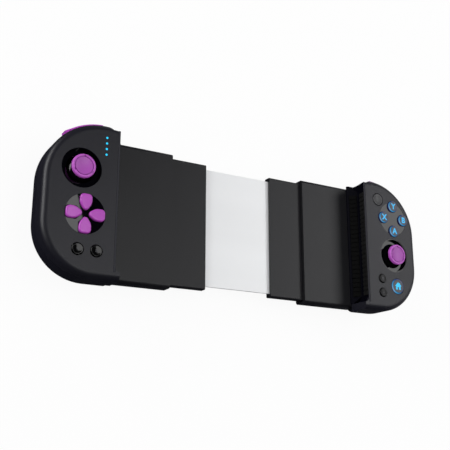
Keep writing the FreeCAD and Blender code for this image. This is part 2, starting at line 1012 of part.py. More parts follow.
def shoulder_slot(name, side, z_range, last):
    angles = (D.shoulder_from - D.shoulder_end_gap, last)
    return sector_body(name, side, arm_inner(), trigger_radius() + PAST, angles, z_range)


def corner_wedge(name, side, inset):
    """What lies outside the slanted corner beside the cradle, drawn in by an inset."""
    start = cradle_back() + D.fit_gap
    start_y = cradle_top_y() + D.fit_gap - inset
    end = D.grip_outer - D.top_radius - D.corner_short
    end_y = D.top_centre_y + D.top_radius - inset
    body = new_body(name)
    sketch = new_sketch(body, name + "_corner", "XY_Plane", swell_floor() - FAR)
    draw(sketch, mirrored([
        (D.grip_inner - FAR, start_y),
        (start, start_y),
        (end, end_y),
        (end, end_y + FAR),
        (D.grip_inner - FAR, end_y + FAR),
    ], side))
    pad(body, sketch, D.face_level - swell_floor() + FAR * 2)
    return body


def cradle_room(name, side):
    """The space in the shells that the cradle takes up."""
    start = D.grip_inner - PAST
    across = (ledge_top_y(), cradle_top_y() + D.fit_gap)
    under = under_face()
    rim_end = D.grip_inner + D.cradle_rim + D.fit_gap
    return [
        box(name + "_deep", (start, cradle_back() + D.fit_gap), across,
            (cradle_base() - D.fit_gap, under), side),
        box(name + "_rim", (start, rim_end), across,
            (under - PAST, D.face_level + PAST), side),
    ]


def make_back_shell(side):
    """The rear half of a grip, with the palm swell and the bosses."""
    name = side_name(side) + "_back_shell"
    wall = D.shell_wall
    outer = grip_block(name + "_outer", side, D.grip_inner, 0,
                       (D.back_level, under_face()), D.back_level, D.back_round)
    swell = stadium_block(name + "_swell", side, D.swell_middle_x, D.swell_half_run,
                          D.swell_radius, (swell_floor(), D.back_level + wall), D.swell_round)
    core = grip_block(name + "_core", side, D.grip_inner + wall, wall,
                      (D.back_level + wall, D.face_level), D.back_level + wall,
                      D.back_round - wall)
    swell_core = stadium_block(name + "_swell_core", side, D.swell_middle_x,
                               D.swell_half_run, D.swell_radius - wall,
                               (swell_floor() + wall, D.back_level + wall + PAST),
                               D.swell_round - wall)
    room = cut(name + "_room", core, [corner_wedge(name + "_inside", side, wall)])
    shell = cut(name + "_hollow", fuse(name + "_solid", [outer, swell]), [room, swell_core])

    boss_low = D.back_level + wall + D.boss_lift
    bosses = screw_posts(name + "_boss", side, (boss_low, D.post_parting - D.fit_gap),
                         D.post_radius)
    standoff_top = D.board_top - D.board_thick - D.fit_gap
    for place in STANDOFF_PLACES:
        along = D.cells["standoff_" + place + "_x"] * side
        across = D.cells["standoff_" + place + "_y"]
        bosses.append(rod(name + "_standoff_" + place, along, across, D.standoff_radius,
                          D.back_level + wall / 2, standoff_top))
    pin_x, pin_y = top_arc_place(side, pivot_radius(), D.pivot_angle)
    bosses.append(rod(name + "_pivot", pin_x, pin_y, D.post_radius,
                      boss_low, D.trigger_low - D.run_gap))
    port_low = D.port_low - D.fit_gap
    port_high = D.port_low + D.port_height + D.fit_gap
    port_half = D.port_half_width + D.fit_gap
    port_across = (D.port_y - port_half, D.port_y + port_half)
    port_end = port_start() - D.fit_gap
    if side == RIGHT:
        shelf = (port_end, D.grip_outer - wall / 2)
        bosses.append(box(name + "_port_shelf", shelf, port_across,
                          (D.port_shelf_low, port_low)))
    solid = fuse(name + "_bossed", [shell] + bosses)

    tools = [seam_block(name + "_seam", side, True), corner_wedge(name + "_end", side, 0)]
    tools += cradle_room(name + "_cradle", side)
    slot_half = D.tongue_half_width + D.fit_gap
    tools.append(box(name + "_tongue_slot",
                     (D.grip_inner - PAST, D.grip_inner + wall + PAST / 2),
                     (-slot_half, slot_half),
                     (-D.tongue_half_height - D.fit_gap, cradle_base() + PAST), side))
    tools.append(shoulder_slot(name + "_slot", side,
                               (D.trigger_low - D.run_gap, D.seam_level + PAST),
                               D.shoulder_to - D.trigger_short + D.trigger_end_gap))
    head_level = D.screw_head_level
    tools += screw_posts(name + "_shank", side, (head_level - PAST, D.post_parting + PAST),
                         D.screw_shank + D.fit_gap)
    tools += screw_posts(name + "_head", side, (swell_floor(), head_level),
                         D.screw_head + D.fit_gap)
    tools += screw_posts(name + "_post_room", side, (D.post_parting, D.seam_level + PAST),
                         D.post_radius + D.fit_gap)
    tools.append(rod(name + "_pin_hole", pin_x, pin_y, D.pivot_pin + D.fit_gap,
                     pin_low() - D.fit_gap, D.trigger_low))
    foot_sink = swell_floor() + D.foot_sunk + D.fit_gap
    tools.append(stadium_block(name + "_foot_room", side, D.swell_middle_x,
                               D.foot_half_run, foot_radius() + D.fit_gap,
                               (swell_floor() - PAST, foot_sink), None))
    if side == RIGHT:
        tools.append(box(name + "_port_slot", (port_end, D.grip_outer + PAST), port_across,
                         (port_low, port_high)))
    finish(name, cut(name, solid, tools))


def make_foot(side):
    """The rubber pad under the palm swell."""
    name = side_name(side) + "_foot"
    finish(name, stadium_block(name, side, D.swell_middle_x, D.foot_half_run, foot_radius(),
                               (floor_level(), swell_floor() + D.foot_sunk), None))


def make_ledge(name, side):
    """End wall of the cradle at the bottom of a grip, shaped like the shell's edge."""
    bottom = bottom_edge()
    base = cradle_base()
    top = ledge_top_y()
    face = D.face_level
    turn = D.face_round
    body = new_body(name)
    sketch = new_sketch(body, name + "_side", "YZ_Plane", ledge_inner() * side)
    draw(sketch, [
        (top, base),
        (top, face),
        (bottom + turn, face, (bottom + turn, face - turn, turn, False)),
        (bottom, face - turn),
        (bottom, base),
    ])
    pad(body, sketch, D.ledge_reach - D.fit_gap, backwards=side == LEFT)
    return body


def ledge_link(name, side):
    """What ties the ledge to the face, above the joint of the shells."""
    return box(name, (ledge_inner(), D.grip_inner + D.shell_wall),
               (bottom_edge() + D.face_round, ledge_top_y()),
               (D.face_level - D.face_round, D.face_level), side)


def ledge_fillet(name, side):
    """Hollow corner between the ledge and the face's inner edge."""
    inner = D.grip_inner * side
    end = ledge_inner() * side
    corner_y = ledge_top_y()
    low_y = corner_y - D.shell_wall
    reach = D.ledge_reach
    body = new_body(name)
    sketch = new_sketch(body, name + "_corner", "XY_Plane", under_face())
    draw(sketch, [
        (inner, low_y),
        (inner, corner_y + reach,
         (end, corner_y + reach, reach, side == RIGHT)),
        (end, corner_y),
        (end, low_y),
    ])
    pad(body, sketch, D.shell_wall)
    return body


def left_face_holes(name):
    """Openings for the controls of the left grip."""
    top = D.face_level + PAST
    low = under_face() - PAST
    gap = D.run_gap
    tools = [rod(name + "_stick", -D.left_stick_x, D.left_stick_y, D.well_hole, low, top)]
    tools.append(rod(name + "_disc", -D.dpad_x, D.dpad_y, D.disc_radius + D.fit_gap,
                     D.face_level - D.disc_recess, top))
    for turn, (key, step_x, step_y) in enumerate(KEY_WAYS):
        tools.append(dpad_shape(name + "_" + key, turn, gap, (low, top), None))
    for label, along in (("inner", D.domed_inner_x), ("outer", D.domed_outer_x)):
        tools.append(rod(name + "_domed_" + label, -along, D.domed_y, D.domed_radius + gap,
                         low, top))
    for index in range(int(D.led_count.value)):
        across = D.led_first_y + D.led_pitch * index
        tools.append(rod(name + "_led%d" % index, -D.led_x, across,
                         D.led_radius + D.fit_gap, low, top))
    return tools


def face_button_places():
    """Middle of each face button, by the digit that it carries."""
    return {
        "1": (D.face_disc_x, D.face_disc_y + D.face_spread_y),
        "2": (D.face_disc_x + D.face_spread_x, D.face_disc_y),
        "3": (D.face_disc_x, D.face_disc_y - D.face_spread_y),
        "4": (D.face_disc_x - D.face_spread_x, D.face_disc_y),
    }


def right_face_holes(name):
    """Openings for the controls of the right grip."""
    top = D.face_level + PAST
    low = under_face() - PAST
    gap = D.run_gap
    tools = [rod(name + "_stick", D.right_stick_x, D.right_stick_y, D.well_hole, low, top)]
    tools.append(rod(name + "_disc", D.face_disc_x, D.face_disc_y,
                     D.disc_radius + D.fit_gap, D.face_level - D.disc_recess, top))
    for digit, (along, across) in face_button_places().items():
        tools.append(rod(name + "_face" + digit, along, across,
                         D.face_button_radius + gap, low, top))
    for label, along, across, radius in (
        ("home", D.home_x, D.home_y, D.home_radius),
        ("plain", D.plain_x, D.plain_y, D.plain_radius),
        ("menu_upper", D.menu_x, D.menu_upper_y, D.menu_radius),
        ("menu_lower", D.menu_x, D.menu_lower_y, D.menu_radius),
    ):
        tools.append(rod(name + "_" + label, along, across, radius + gap, low, top))
    return tools


def make_front_shell(side):
    """The face half of a grip, with every opening for its controls."""
    name = side_name(side) + "_front_shell"
    wall = D.shell_wall
    low = D.seam_level - wall
    under = under_face()
    outer = grip_block(name + "_outer", side, D.grip_inner, 0,
                       (low, D.face_level), D.face_level, D.face_round)
    core_body = new_body(name + "_core")
    core_sketch = new_sketch(core_body, name + "_core_outline", "XY_Plane", low - PAST)
    draw(core_sketch, grip_outline(side, D.grip_inner + wall, wall))
    pad(core_body, core_sketch, under - low + PAST)
    room = cut(name + "_room", core_body, [corner_wedge(name + "_inside", side, wall)])
    shell = cut(name + "_hollow", outer, [room])
    posts = screw_posts(name + "_post", side, (D.post_parting + D.fit_gap, under + wall / 2),
                        D.post_radius)
    block_radius = pivot_radius() + D.pivot_block_shift
    block_x, block_y = top_arc_place(side, block_radius, D.pivot_angle)
    posts.append(rod(name + "_pivot", block_x, block_y, D.pivot_block,
                     trigger_high() + D.run_gap, pin_high() + D.pivot_block_cover))

    tools = [seam_block(name + "_seam", side, False), corner_wedge(name + "_end", side, 0)]
    tools += cradle_room(name + "_cradle", side)
    tools.append(shoulder_slot(name + "_slot", side,
                               (D.seam_level - PAST, bumper_high() + D.run_gap),
                               D.shoulder_to + D.shoulder_end_gap))
    tools += screw_posts(name + "_shank", side,
                         (D.post_parting - PAST, D.screw_end + D.run_gap),
                         D.screw_shank + D.fit_gap)
    pin_x, pin_y = top_arc_place(side, pivot_radius(), D.pivot_angle)
    tools.append(rod(name + "_pin_hole", pin_x, pin_y, D.pivot_pin + D.fit_gap,
                     trigger_high(), pin_high() + D.fit_gap))
    tools += left_face_holes(name) if side == LEFT else right_face_holes(name)

    trimmed = cut(name + "_trimmed", shell, tools[:1])
    solid = fuse(name + "_posted", [trimmed] + posts)
    opened = cut(name + "_opened", solid, tools[1:])
    ledge = [make_ledge(name + "_ledge", side), ledge_link(name + "_link", side),
             ledge_fillet(name + "_corner", side)]
    finish(name, fuse(name, [opened] + ledge))


def cradle_facets():
    """Corners of the V that holds the phone, from the lip up to the face."""
    lip = (D.grip_inner - D.cradle_lip, cradle_base() + D.cradle_nose)
    valley = (D.grip_inner + D.cradle_valley_depth, D.cradle_valley_z)
    rim = (D.grip_inner, D.face_level - D.fit_gap)
    return lip, valley, rim


def strip_corners(which, depth_out, depth_in, ends):
    """Four corners of a strip on its facet, as (x, z) in order, longer at both ends."""
    lip, valley, rim = cradle_facets()
    low, high = (lip, valley) if which == "lower" else (valley, rim)
    share_start = D.cells[which + "_strip_start"]
    share_end = D.cells[which + "_strip_end"]
    run_x = high[0] - low[0]
    run_z = high[1] - low[1]
    length = root(run_x * run_x + run_z * run_z)
    unit_x, unit_z = run_x / length, run_z / length
    corners = []
    for share, past, depth in (
        (share_start, -ends, -depth_in),
        (share_start, -ends, depth_out),
        (share_end, ends, depth_out),
        (share_end, ends, -depth_in),
    ):
        corners.append((low[0] + run_x * share + unit_x * past - unit_z * depth,
                        low[1] + run_z * share + unit_z * past + unit_x * depth))
    return corners


def mirrored(corners, side):
    return [(corner[0] * side, corner[1]) for corner in corners]


def make_cradle(side):
    """The V-shaped bar that grips one end of the phone."""
    name = side_name(side) + "_cradle"
    lip, valley, rim = cradle_facets()
    base = cradle_base()
    back = cradle_back()
    under = under_face() - D.fit_gap
    rim_end = D.grip_inner + D.cradle_rim
    body = new_body(name + "_bar")
    start = ledge_top_y() + D.fit_gap
    end = cradle_top_y()
    sketch = new_sketch(body, name + "_profile", "XZ_Plane", -start)
    draw(sketch, mirrored([
        (lip[0], base), lip, valley, rim,
        (rim_end, rim[1]), (rim_end, under), (back, under), (back, base),
    ], side))
    pad(body, sketch, end - start, backwards=True)
    for which in ("lower", "upper"):
        seat = new_sketch(body, name + "_" + which + "_seat", "XZ_Plane",
                          -(strip_start_y() - D.fit_gap))
        corners = strip_corners(which, D.strip_proud, D.strip_embed + D.fit_gap, D.fit_gap)
        draw(seat, mirrored(corners, side))
        pocket(body, seat, D.strip_length + D.fit_gap * 2)
    foot = lip[1] + D.cradle_ramp_foot
    ramps = []
    for place, edge, inwards in (("top", end, -1), ("bottom", start, 1)):
        ramp = new_body(name + "_" + place + "_ramp")
        sketch = new_sketch(ramp, name + "_" + place + "_slope", "YZ_Plane",
                            (lip[0] - PAST) * side)
        draw(sketch, [
            (edge - PAST * inwards, foot),
            (edge, foot),
            (edge + D.cradle_ramp * inwards, valley[1]),
            (edge - PAST * inwards, valley[1]),
        ])
        pad(ramp, sketch, valley[0] - lip[0] + PAST, backwards=side == LEFT)
        ramps.append(ramp)
    finish(name, cut(name, body, ramps))


def make_strip(side, which):
    """A ribbed rubber strip on one facet of the cradle."""
    name = side_name(side) + "_" + which + "_strip"
    body = new_body(name)
    sketch = new_sketch(body, name + "_profile", "XZ_Plane", -strip_start_y())
    draw(sketch, mirrored(strip_corners(which, D.strip_proud, D.strip_embed, size_of(0)), side))
    pad(body, sketch, D.strip_length, backwards=True)
    pitch = D.strip_length / D.strip_rib_count
    first = strip_start_y() + pitch - D.strip_groove / 2
    floor = D.strip_groove_depth - D.strip_proud
    groove = new_sketch(body, name + "_groove", "XZ_Plane", -first)
    corners = strip_corners(which, D.strip_proud * 2, floor, D.strip_groove)
    draw(groove, mirrored(corners, side))
    notch = pocket(body, groove, D.strip_groove)
    pattern = body.newObject("PartDesign::LinearPattern", name + "_ribs")
    pattern.Originals = [notch]
    pattern.Direction = (origin_feature(body, "Y_Axis"), [""])
    gaps = int(D.strip_rib_count.value) - 1
    pattern.setExpression("Length", (pitch * (gaps - 1)).text)
    pattern.Occurrences = gaps
    body.Tip = pattern
    finish(name, body)


def shoulder_face(name, side, inner, outer, angles, z_range, rounding):
    """The curved plate of a shoulder button, with its outer edges rounded."""
    body = new_body(name)
    sketch = new_sketch(body, name + "_sector", "XY_Plane", z_range[0])
    draw(sketch, arc_sector(side, inner, outer, angles[0], angles[1]))
    block = pad(body, sketch, z_range[1] - z_range[0])
    round_edges(body, block, rounding, on_radius(side, outer))
    return body


def make_bumper(side):
    """The upper shoulder button, which slides in through the front shell."""
    name = side_name(side) + "_bumper"
    angles = (D.shoulder_from, D.shoulder_to)
    low = bumper_low()
    flange_outer = D.top_radius - D.shell_wall - D.run_gap
    face = shoulder_face(name + "_face", side, flange_outer - D.bumper_flange / 2,
                         D.top_radius + D.bumper_proud, angles, (low, bumper_high()),
                         D.bumper_round)
    flange = sector_body(name + "_flange", side, flange_outer - D.bumper_flange,
                         flange_outer, (angles[0] + D.bumper_flange_trim, angles[1]),
                         (low, bumper_high() + D.bumper_flange_reach))
    finish(name, fuse(name, [face, flange]))


def make_trigger(side):
    """The lower shoulder button, which turns on a pin at its outer end."""
    name = side_name(side) + "_trigger"
    z_range = (D.trigger_low, trigger_high())
    angles = (D.shoulder_from, D.shoulder_to - D.trigger_short)
    face = shoulder_face(name + "_face", side, arm_outer() - D.trigger_inset,
                         trigger_radius(), angles, z_range, D.trigger_round)
    arm = sector_body(name + "_arm", side, arm_inner(), arm_outer(),
                      (D.pivot_angle, D.shoulder_from + D.trigger_arm_lap), z_range)
    pin_x, pin_y = top_arc_place(side, pivot_radius(), D.pivot_angle)
    knuckle = rod(name + "_knuckle", pin_x, pin_y, D.pivot_knuckle, z_range[0], z_range[1])
    pin = rod(name + "_pin", pin_x, pin_y, D.pivot_pin, pin_low(), pin_high())
    finish(name, fuse(name, [face, arm, knuckle, pin]))


def button_path(radius, rise, style):
    """Profile of a round button: stem, flange, wall and its kind of top."""
    flange_top = under_face() - D.run_gap
    flange_low = flange_top - D.flange_thick
    flange = radius + D.button_flange
    top = D.face_level + rise
    foot = button_foot()
    path = [
        (0, foot),
        (D.button_stem, foot),
        (D.button_stem, flange_low),
        (flange, flange_low),
        (flange, flange_top),
        (radius, flange_top),
    ]
    edge = D.button_round
    rim = radius - edge
    if style == "flat":
        path += [
            (radius, top - edge, (rim, top - edge, edge, False)),
            (rim, top),
            (0, top),
        ]
    if style == "domed":
        low = top - D.dome_rise
        bulge = cap_radius_of(radius, D.dome_rise)
        path += [(radius, low, (0, top - bulge, bulge, False)), (0, top)]
    if style == "dished":
        dip = D.plain_dish
        hollow = cap_radius_of(rim, dip)
        path += [
            (radius, top - edge, (rim, top - edge, edge, False)),
            (rim, top, (0, top - dip + hollow, hollow, True)),
            (0, top - dip),
        ]
    return path


def cap_radius_of(half_width, height):
    """Radius of the ball that a shallow cap of this size is cut from."""
    return (half_width * half_width + height * height) / (height * 2)


def make_round_button(name, along, across, radius, top, style):
    body = turned(name, button_path(radius, top, style))
    finish_at(name, body, along, across)


def dpad_shape(name, turn, gap, z_range, rounding):
    """One direction key, pointing along a quarter turn from the disc's middle."""
    tip = D.dpad_tip - gap
    tip_half = D.dpad_tip_half
    end = D.dpad_end + gap
    half = D.dpad_half_width + gap
    corner = D.dpad_corner
    body = new_body(name)
    sketch = new_sketch(body, name + "_key", "XY_Plane", z_range[0])
    draw(sketch, [
        (tip, -tip_half),
        (D.dpad_shoulder, -half),
        (end - corner, -half, (end - corner, -half + corner, corner, False)),
        (end, -half + corner),
        (end, half - corner, (end - corner, half - corner, corner, False)),
        (end - corner, half),
        (D.dpad_shoulder, half),
        (tip, tip_half),
    ])
    block = pad(body, sketch, size_of(z_range[1]) - z_range[0])
    if rounding is not None:
        top = number(z_range[1])
        round_edges(body, block, rounding, lambda edge: at_height(edge, top))
    rotation = FreeCAD.Rotation(Vector(0, 0, 1), 90 * turn)
    body.Placement = FreeCAD.Placement(Vector(0, 0, 0), rotation)
    body.setExpression("Placement.Base.x", (-D.dpad_x).text)
    body.setExpression("Placement.Base.y", D.dpad_y.text)
    return body


def make_dpad():
    """The four direction keys, each with a stem and a tab that holds it in."""
    flange_top = under_face() - D.run_gap
    flange_low = flange_top - D.flange_thick
    stem_reach = (D.dpad_shoulder + D.dpad_end) / 2
    tab_start = D.dpad_end - D.dpad_corner
    tab_end = D.dpad_end + D.button_flange
    half = D.dpad_half_width - D.dpad_corner
    for turn, (name, step_x, step_y) in enumerate(KEY_WAYS):
        key = dpad_shape(name + "_key", turn, 0, (flange_low, D.face_level + D.dpad_top),
                         D.dpad_round)
        stem = rod(name + "_stem", -D.dpad_x + stem_reach * step_x,
                   D.dpad_y + stem_reach * step_y, D.button_stem, button_foot(), flange_top)
        tab_run = sorted((tab_start * (step_x + step_y), tab_end * (step_x + step_y)), key=number)
        along, across = (tab_run, (-half, half)) if step_x else ((-half, half), tab_run)
        tab = box(name + "_tab", (-D.dpad_x + along[0], -D.dpad_x + along[1]),
                  (D.dpad_y + across[0], D.dpad_y + across[1]), (flange_low, flange_top))
        finish(name, fuse(name, [key, stem, tab]))


def disc_blank(name, along, across):
    """A glossy disc in its recess, and the height range of its holes."""
    low = D.face_level - D.disc_recess + D.fit_gap
    high = low + D.disc_thick
    return rod(name, along, across, D.disc_radius, low, high), (low - PAST, high + PAST)


def make_dpad_disc():
    disc, through = disc_blank("dpad_disc_blank", -D.dpad_x, D.dpad_y)
    holes = []
    for turn, (key, step_x, step_y) in enumerate(KEY_WAYS):
        holes.append(dpad_shape(key + "_disc_hole", turn, D.run_gap, through, None))
    finish("dpad_disc", cut("dpad_disc", disc, holes))


def make_face_disc():
    disc, through = disc_blank("face_disc_blank", D.face_disc_x, D.face_disc_y)
    holes = []
    for digit, (along, across) in face_button_places().items():
        holes.append(rod("face_disc_hole" + digit, along, across,
                         D.face_button_radius + D.run_gap, through[0], through[1]))
    finish("face_disc", cut("face_disc", disc, holes))


def make_light_guide():
    """The clear bar whose four pins show as lights in the left face."""
    under = under_face() - D.fit_gap
    last = D.led_first_y + D.led_pitch * (int(D.led_count.value) - 1)
    half = D.guide_half_width
    bar = box("guide_bar", (D.led_x - half, D.led_x + half),
              (D.led_first_y - half, last + half), (under - D.guide_thick, under), LEFT)
    pins = []
    for index in range(int(D.led_count.value)):
        pins.append(rod("guide_pin%d" % index, -D.led_x, D.led_first_y + D.led_pitch * index,
                        D.led_radius, under - D.guide_thick / 2, D.face_level))
    finish("light_guide", fuse("light_guide", [bar] + pins))


def make_stick_well(side, along, across):
    """The cup that lines the opening round a stick."""
    name = side_name(side) + "_stick_well"
    outer = D.well_hole - D.fit_gap
    inner = outer - D.well_wall
    flange = D.well_hole + D.well_lip
    floor = D.face_level - D.well_depth
    low = floor - D.well_floor_thick
    under = under_face() - D.fit_gap
    rim = D.face_level - D.well_sunk
    body = turned(name, [
        (D.well_opening, low),
        (flange, low),
        (flange, under),
        (outer, under),
        (outer, rim),
        (inner, rim),
        (inner, floor),
        (D.well_opening, floor),
    ])
    finish_at(name, body, along, across)


def make_stick_module(side, along, across):
    """The sensor box under a stick."""
    name = side_name(side) + "_stick_module"
    half = D.module_half
    wall = D.module_wall
    low = D.board_top + D.fit_gap
    high = low + D.module_height
    room = half - wall
    case = box(name + "_case", (-half, half), (-half, half), (low, high))
    sensor = (-D.sensor_half, D.sensor_half)
    outward = (half - wall, half + D.sensor_depth)
    sensor_z = (low, low + D.sensor_height)
    sensors = [
        box(name + "_sensor_x", outward, sensor, sensor_z),
        box(name + "_sensor_y", sensor, outward, sensor_z),
    ]
    tools = [
        box(name + "_room", (-room, room), (-room, room), (low + wall, high - wall)),
        rod(name + "_opening", 0, 0, D.module_opening, high - wall - PAST, high + PAST),
    ]
    finish_at(name, cut(name, fuse(name + "_solid", [case] + sensors), tools), along, across)


def carriage_outer():
    return D.module_half - D.module_wall - D.run_gap


def yoke_outer():
    return carriage_outer() - D.carriage_wall - D.yoke_gap


def square_ring(name, outer, inner, half_height):
    """A square frame about the pivot, as its block and the tool for its hole."""
    pivot = pivot_level()
    low, high = pivot - half_height, pivot + half_height
    block = box(name + "_ring", (-outer, outer), (-outer, outer), (low, high))
    hole = box(name + "_hole", (-inner, inner), (-inner, inner), (low - PAST, high + PAST))
    return block, hole


def make_stick_carriage(side, along, across):
    """The frame that drops when the stick is pressed."""
    name = side_name(side) + "_stick_carriage"
    outer = carriage_outer()
    ring, hole = square_ring(name, outer, outer - D.carriage_wall, D.carriage_half_height)
    bearing = axle(name + "_bearing", "x", -(outer + PAST), outer + PAST, pivot_level(),
                   D.yoke_pin + D.pin_gap)
    finish_at(name, cut(name, ring, [hole, bearing]), along, across)


def make_stick_yoke(side, along, across):
    """The inner ring that tilts across the pad."""
    name = side_name(side) + "_stick_yoke"
    half = yoke_outer()
    pin_end = carriage_outer() - D.pin_gap
    ring, hole = square_ring(name, half, half - D.yoke_wall, D.yoke_half_height)
    pins = axle(name + "_pins", "x", -pin_end, pin_end, pivot_level(), D.yoke_pin)
    bearing = axle(name + "_bearing", "y", -(half + PAST), half + PAST, pivot_level(),
                   D.shaft_pin + D.pin_gap)
    pinned = fuse(name + "_pinned", [ring, pins])
    finish_at(name, cut(name, pinned, [hole, bearing]), along, across)


def make_stick_shaft(side, along, across):
    """The lever with its dome, its stepped collar and its cross pin."""
    name = side_name(side) + "_stick_shaft"
    pivot = pivot_level()
    outer = D.dome_radius
    inner = outer - D.dome_wall
    shaft = D.shaft_radius
    reach = D.dome_reach
    low = pivot - D.shaft_drop
    cap_low = D.face_level + D.cap_lift
    collar_top = cap_low - D.cap_seat_gap
    step = collar_top - D.collar_step
    neck_top = cap_low + D.neck_reach
    lever = turned(name + "_lever", [
        (0, low),
        (shaft, low),
        (shaft, pivot + root(inner * inner - shaft * shaft), (0, pivot, inner, True)),
        (sine(reach) * inner, pivot + cosine(reach) * inner),
        (sine(reach) * outer, pivot + cosine(reach) * outer, (0, pivot, outer, False)),
        (D.collar_low, pivot + root(outer * outer - D.collar_low * D.collar_low)),
        (D.collar_low, step),
        (D.collar_high, step),
        (D.collar_high, collar_top),
        (D.neck_radius, collar_top),
        (D.neck_radius, neck_top),
        (0, neck_top),
    ])
    pin_end = yoke_outer() - D.pin_gap
    pin = axle(name + "_pin", "y", -pin_end, pin_end, pivot, D.shaft_pin)
    finish_at(name, fuse(name, [lever, pin]), along, across)


def make_stick_cap(side, along, across):
    """The dished thumb cap."""
    name = side_name(side) + "_stick_cap"
    radius = D.cap_radius
    low = D.face_level + D.cap_lift
    top = low + D.cap_thick
    turn = D.cap_round
    bore = D.neck_radius + D.fit_gap
    bore_top = low + D.neck_reach + D.fit_gap
    groove = D.cap_groove_radius
    groove_half = D.cap_groove_width
    dish_edge = groove - groove_half
    dip = D.cap_dish / 2
    hollow = cap_radius_of(dish_edge, dip)
    body = turned(name, [
        (0, bore_top),
        (bore, bore_top),
        (bore, low),
        (radius - D.cap_chamfer, low),
        (radius, low + D.cap_chamfer),
        (radius, top - turn, (radius - turn, top - turn, turn, False)),
        (radius - turn, top),
        (groove + groove_half, top - dip / 2),
        (groove, top - D.cap_groove_depth),
        (dish_edge, top - dip, (0, top - D.cap_dish + hollow, hollow, True)),
        (0, top - D.cap_dish),
    ])
    finish_at(name, body, along, across)


def make_stick(side):
    if side == LEFT:
        along, across = -D.left_stick_x, D.left_stick_y
    else:
        along, across = D.right_stick_x, D.right_stick_y
    make_stick_well(side, along, across)
    make_stick_module(side, along, across)
    make_stick_carriage(side, along, across)
    make_stick_yoke(side, along, across)
    make_stick_shaft(side, along, across)
    make_stick_cap(side, along, across)


def switch_places(side):
    """Where a switch stands on a board, under each button of the grip."""
    if side == LEFT:
        middle = (D.dpad_shoulder + D.dpad_end) / 2
        places = [(-D.domed_inner_x, D.domed_y), (-D.domed_outer_x, D.domed_y)]
        for key, step_x, step_y in KEY_WAYS:
            places.append((-D.dpad_x + middle * step_x, D.dpad_y + middle * step_y))
        return places
    places = list(face_button_places().values())
    places += [(D.home_x, D.home_y), (D.plain_x, D.plain_y)]
    places += [(D.menu_x, D.menu_upper_y), (D.menu_x, D.menu_lower_y)]
    return places


def make_board(side):
    """The circuit board of a grip with its push switches."""
    name = side_name(side) + "_board"
    low = D.board_top - D.board_thick
    body = new_body(name + "_plate")
    sketch = new_sketch(body, name + "_outline", "XY_Plane", low)
    inset = D.screw_edge + D.post_radius + D.board_side_gap
    draw(sketch, grip_outline(side, cradle_back() + D.board_cradle_gap, inset))
    pad(body, sketch, D.board_thick)
    switches = []
    for index, (along, across) in enumerate(switch_places(side)):
        switches.append(rod(name + "_switch%d" % index, along, across, D.switch_radius,
                            D.board_top - D.board_thick / 2, D.board_top + D.switch_height))
    finish(name, fuse(name, [body] + switches))


def make_battery():
    """The cell in the palm swell of the left grip."""
    middle = D.swell_middle_x
    half_width = D.swell_radius - D.swell_round - D.battery_side_gap
    half_run = D.swell_half_run + D.battery_overrun
    body = new_body("battery")
    sketch = new_sketch(body, "battery_outline", "XY_Plane",
                        swell_floor() + D.shell_wall + D.fit_gap)
    draw(sketch, rectangle((middle - half_width, middle + half_width),
                           (-half_run, half_run), LEFT))
    cell = pad(body, sketch, D.battery_thick)

    def upright(edge):
        return edge.BoundBox.ZLength > SAME

    round_edges(body, cell, D.battery_round, upright)
    finish("battery", body)


def make_port():
    """The charging socket in the outer side of the right grip."""
    low = D.port_low
    high = low + D.port_height
    start = port_start()
    end = D.grip_outer - D.fit_gap
    width = D.port_half_width
    wall = D.port_wall
    case = box("port_case", (start, end), (D.port_y - width, D.port_y + width), (low, high))
    room = box("port_room", (start + D.port_back_wall, end + PAST),
               (D.port_y - width + wall, D.port_y + width - wall), (low + wall, high - wall))
    middle = (low + high) / 2
    tongue_half = D.port_tongue_thick / 2
    tongue = box("port_tongue", (start + wall, end - D.port_tongue_short),
                 (D.port_y - D.port_tongue, D.port_y + D.port_tongue),
                 (middle - tongue_half, middle + tongue_half))
    finish("charging_port", fuse("charging_port", [cut("port_shell", case, [room]), tongue]))


def make_screws(side):
    """The four case screws of a grip."""
    name = side_name(side) + "_screws"
    head_top = D.screw_head_level - D.fit_gap
    head_low = head_top - D.screw_head_thick
    items = []
    for place, (along, across) in screw_places(side).items():
        head = rod(name + "_head_" + place, along, across, D.screw_head, head_low, head_top)
        shank = rod(name + "_shank_" + place, along, across, D.screw_shank,
                    head_low + D.screw_head_thick / 2, D.screw_end)
        items.append(fuse(name + "_" + place, [head, shank]))
    finish(name, fuse(name, items))


def make_buttons():
    """Every round button of both grips."""
    for label, along in (("inner", D.domed_inner_x), ("outer", D.domed_outer_x)):
        make_round_button("left_" + label + "_button", -along, D.domed_y,
                          D.domed_radius, D.domed_top, "domed")
    for digit, (along, across) in face_button_places().items():
        make_round_button("face_button_" + digit, along, across,
                          D.face_button_radius, D.face_button_top, "flat")
    make_round_button("home_button", D.home_x, D.home_y, D.home_radius, D.home_top, "flat")
    make_round_button("plain_button", D.plain_x, D.plain_y, D.plain_radius, D.plain_top,
                      "dished")
    make_round_button("right_upper_button", D.menu_x, D.menu_upper_y, D.menu_radius,
                      D.menu_top, "domed")
    make_round_button("right_lower_button", D.menu_x, D.menu_lower_y, D.menu_radius,
                      D.menu_top, "domed")


def make_grip(side):
    make_front_shell(side)
    make_back_shell(side)
    make_foot(side)
    make_cradle(side)
    make_strip(side, "lower")
    make_strip(side, "upper")
    make_bumper(side)
    make_trigger(side)
    make_stick(side)
    make_board(side)
    make_screws(side)


def check_document():
    """Stop if any object failed or any piece is empty or not valid."""
    for item in DOC.Objects:
        if "Invalid" in item.State or "Error" in item.State:
            raise RuntimeError("failed: " + item.Name + " " + str(item.State))
    for name, item in NODES.items():
        if item.Shape.isNull() or not item.Shape.isValid() or not item.Shape.Solids:
            raise RuntimeError("bad shape: " + name)


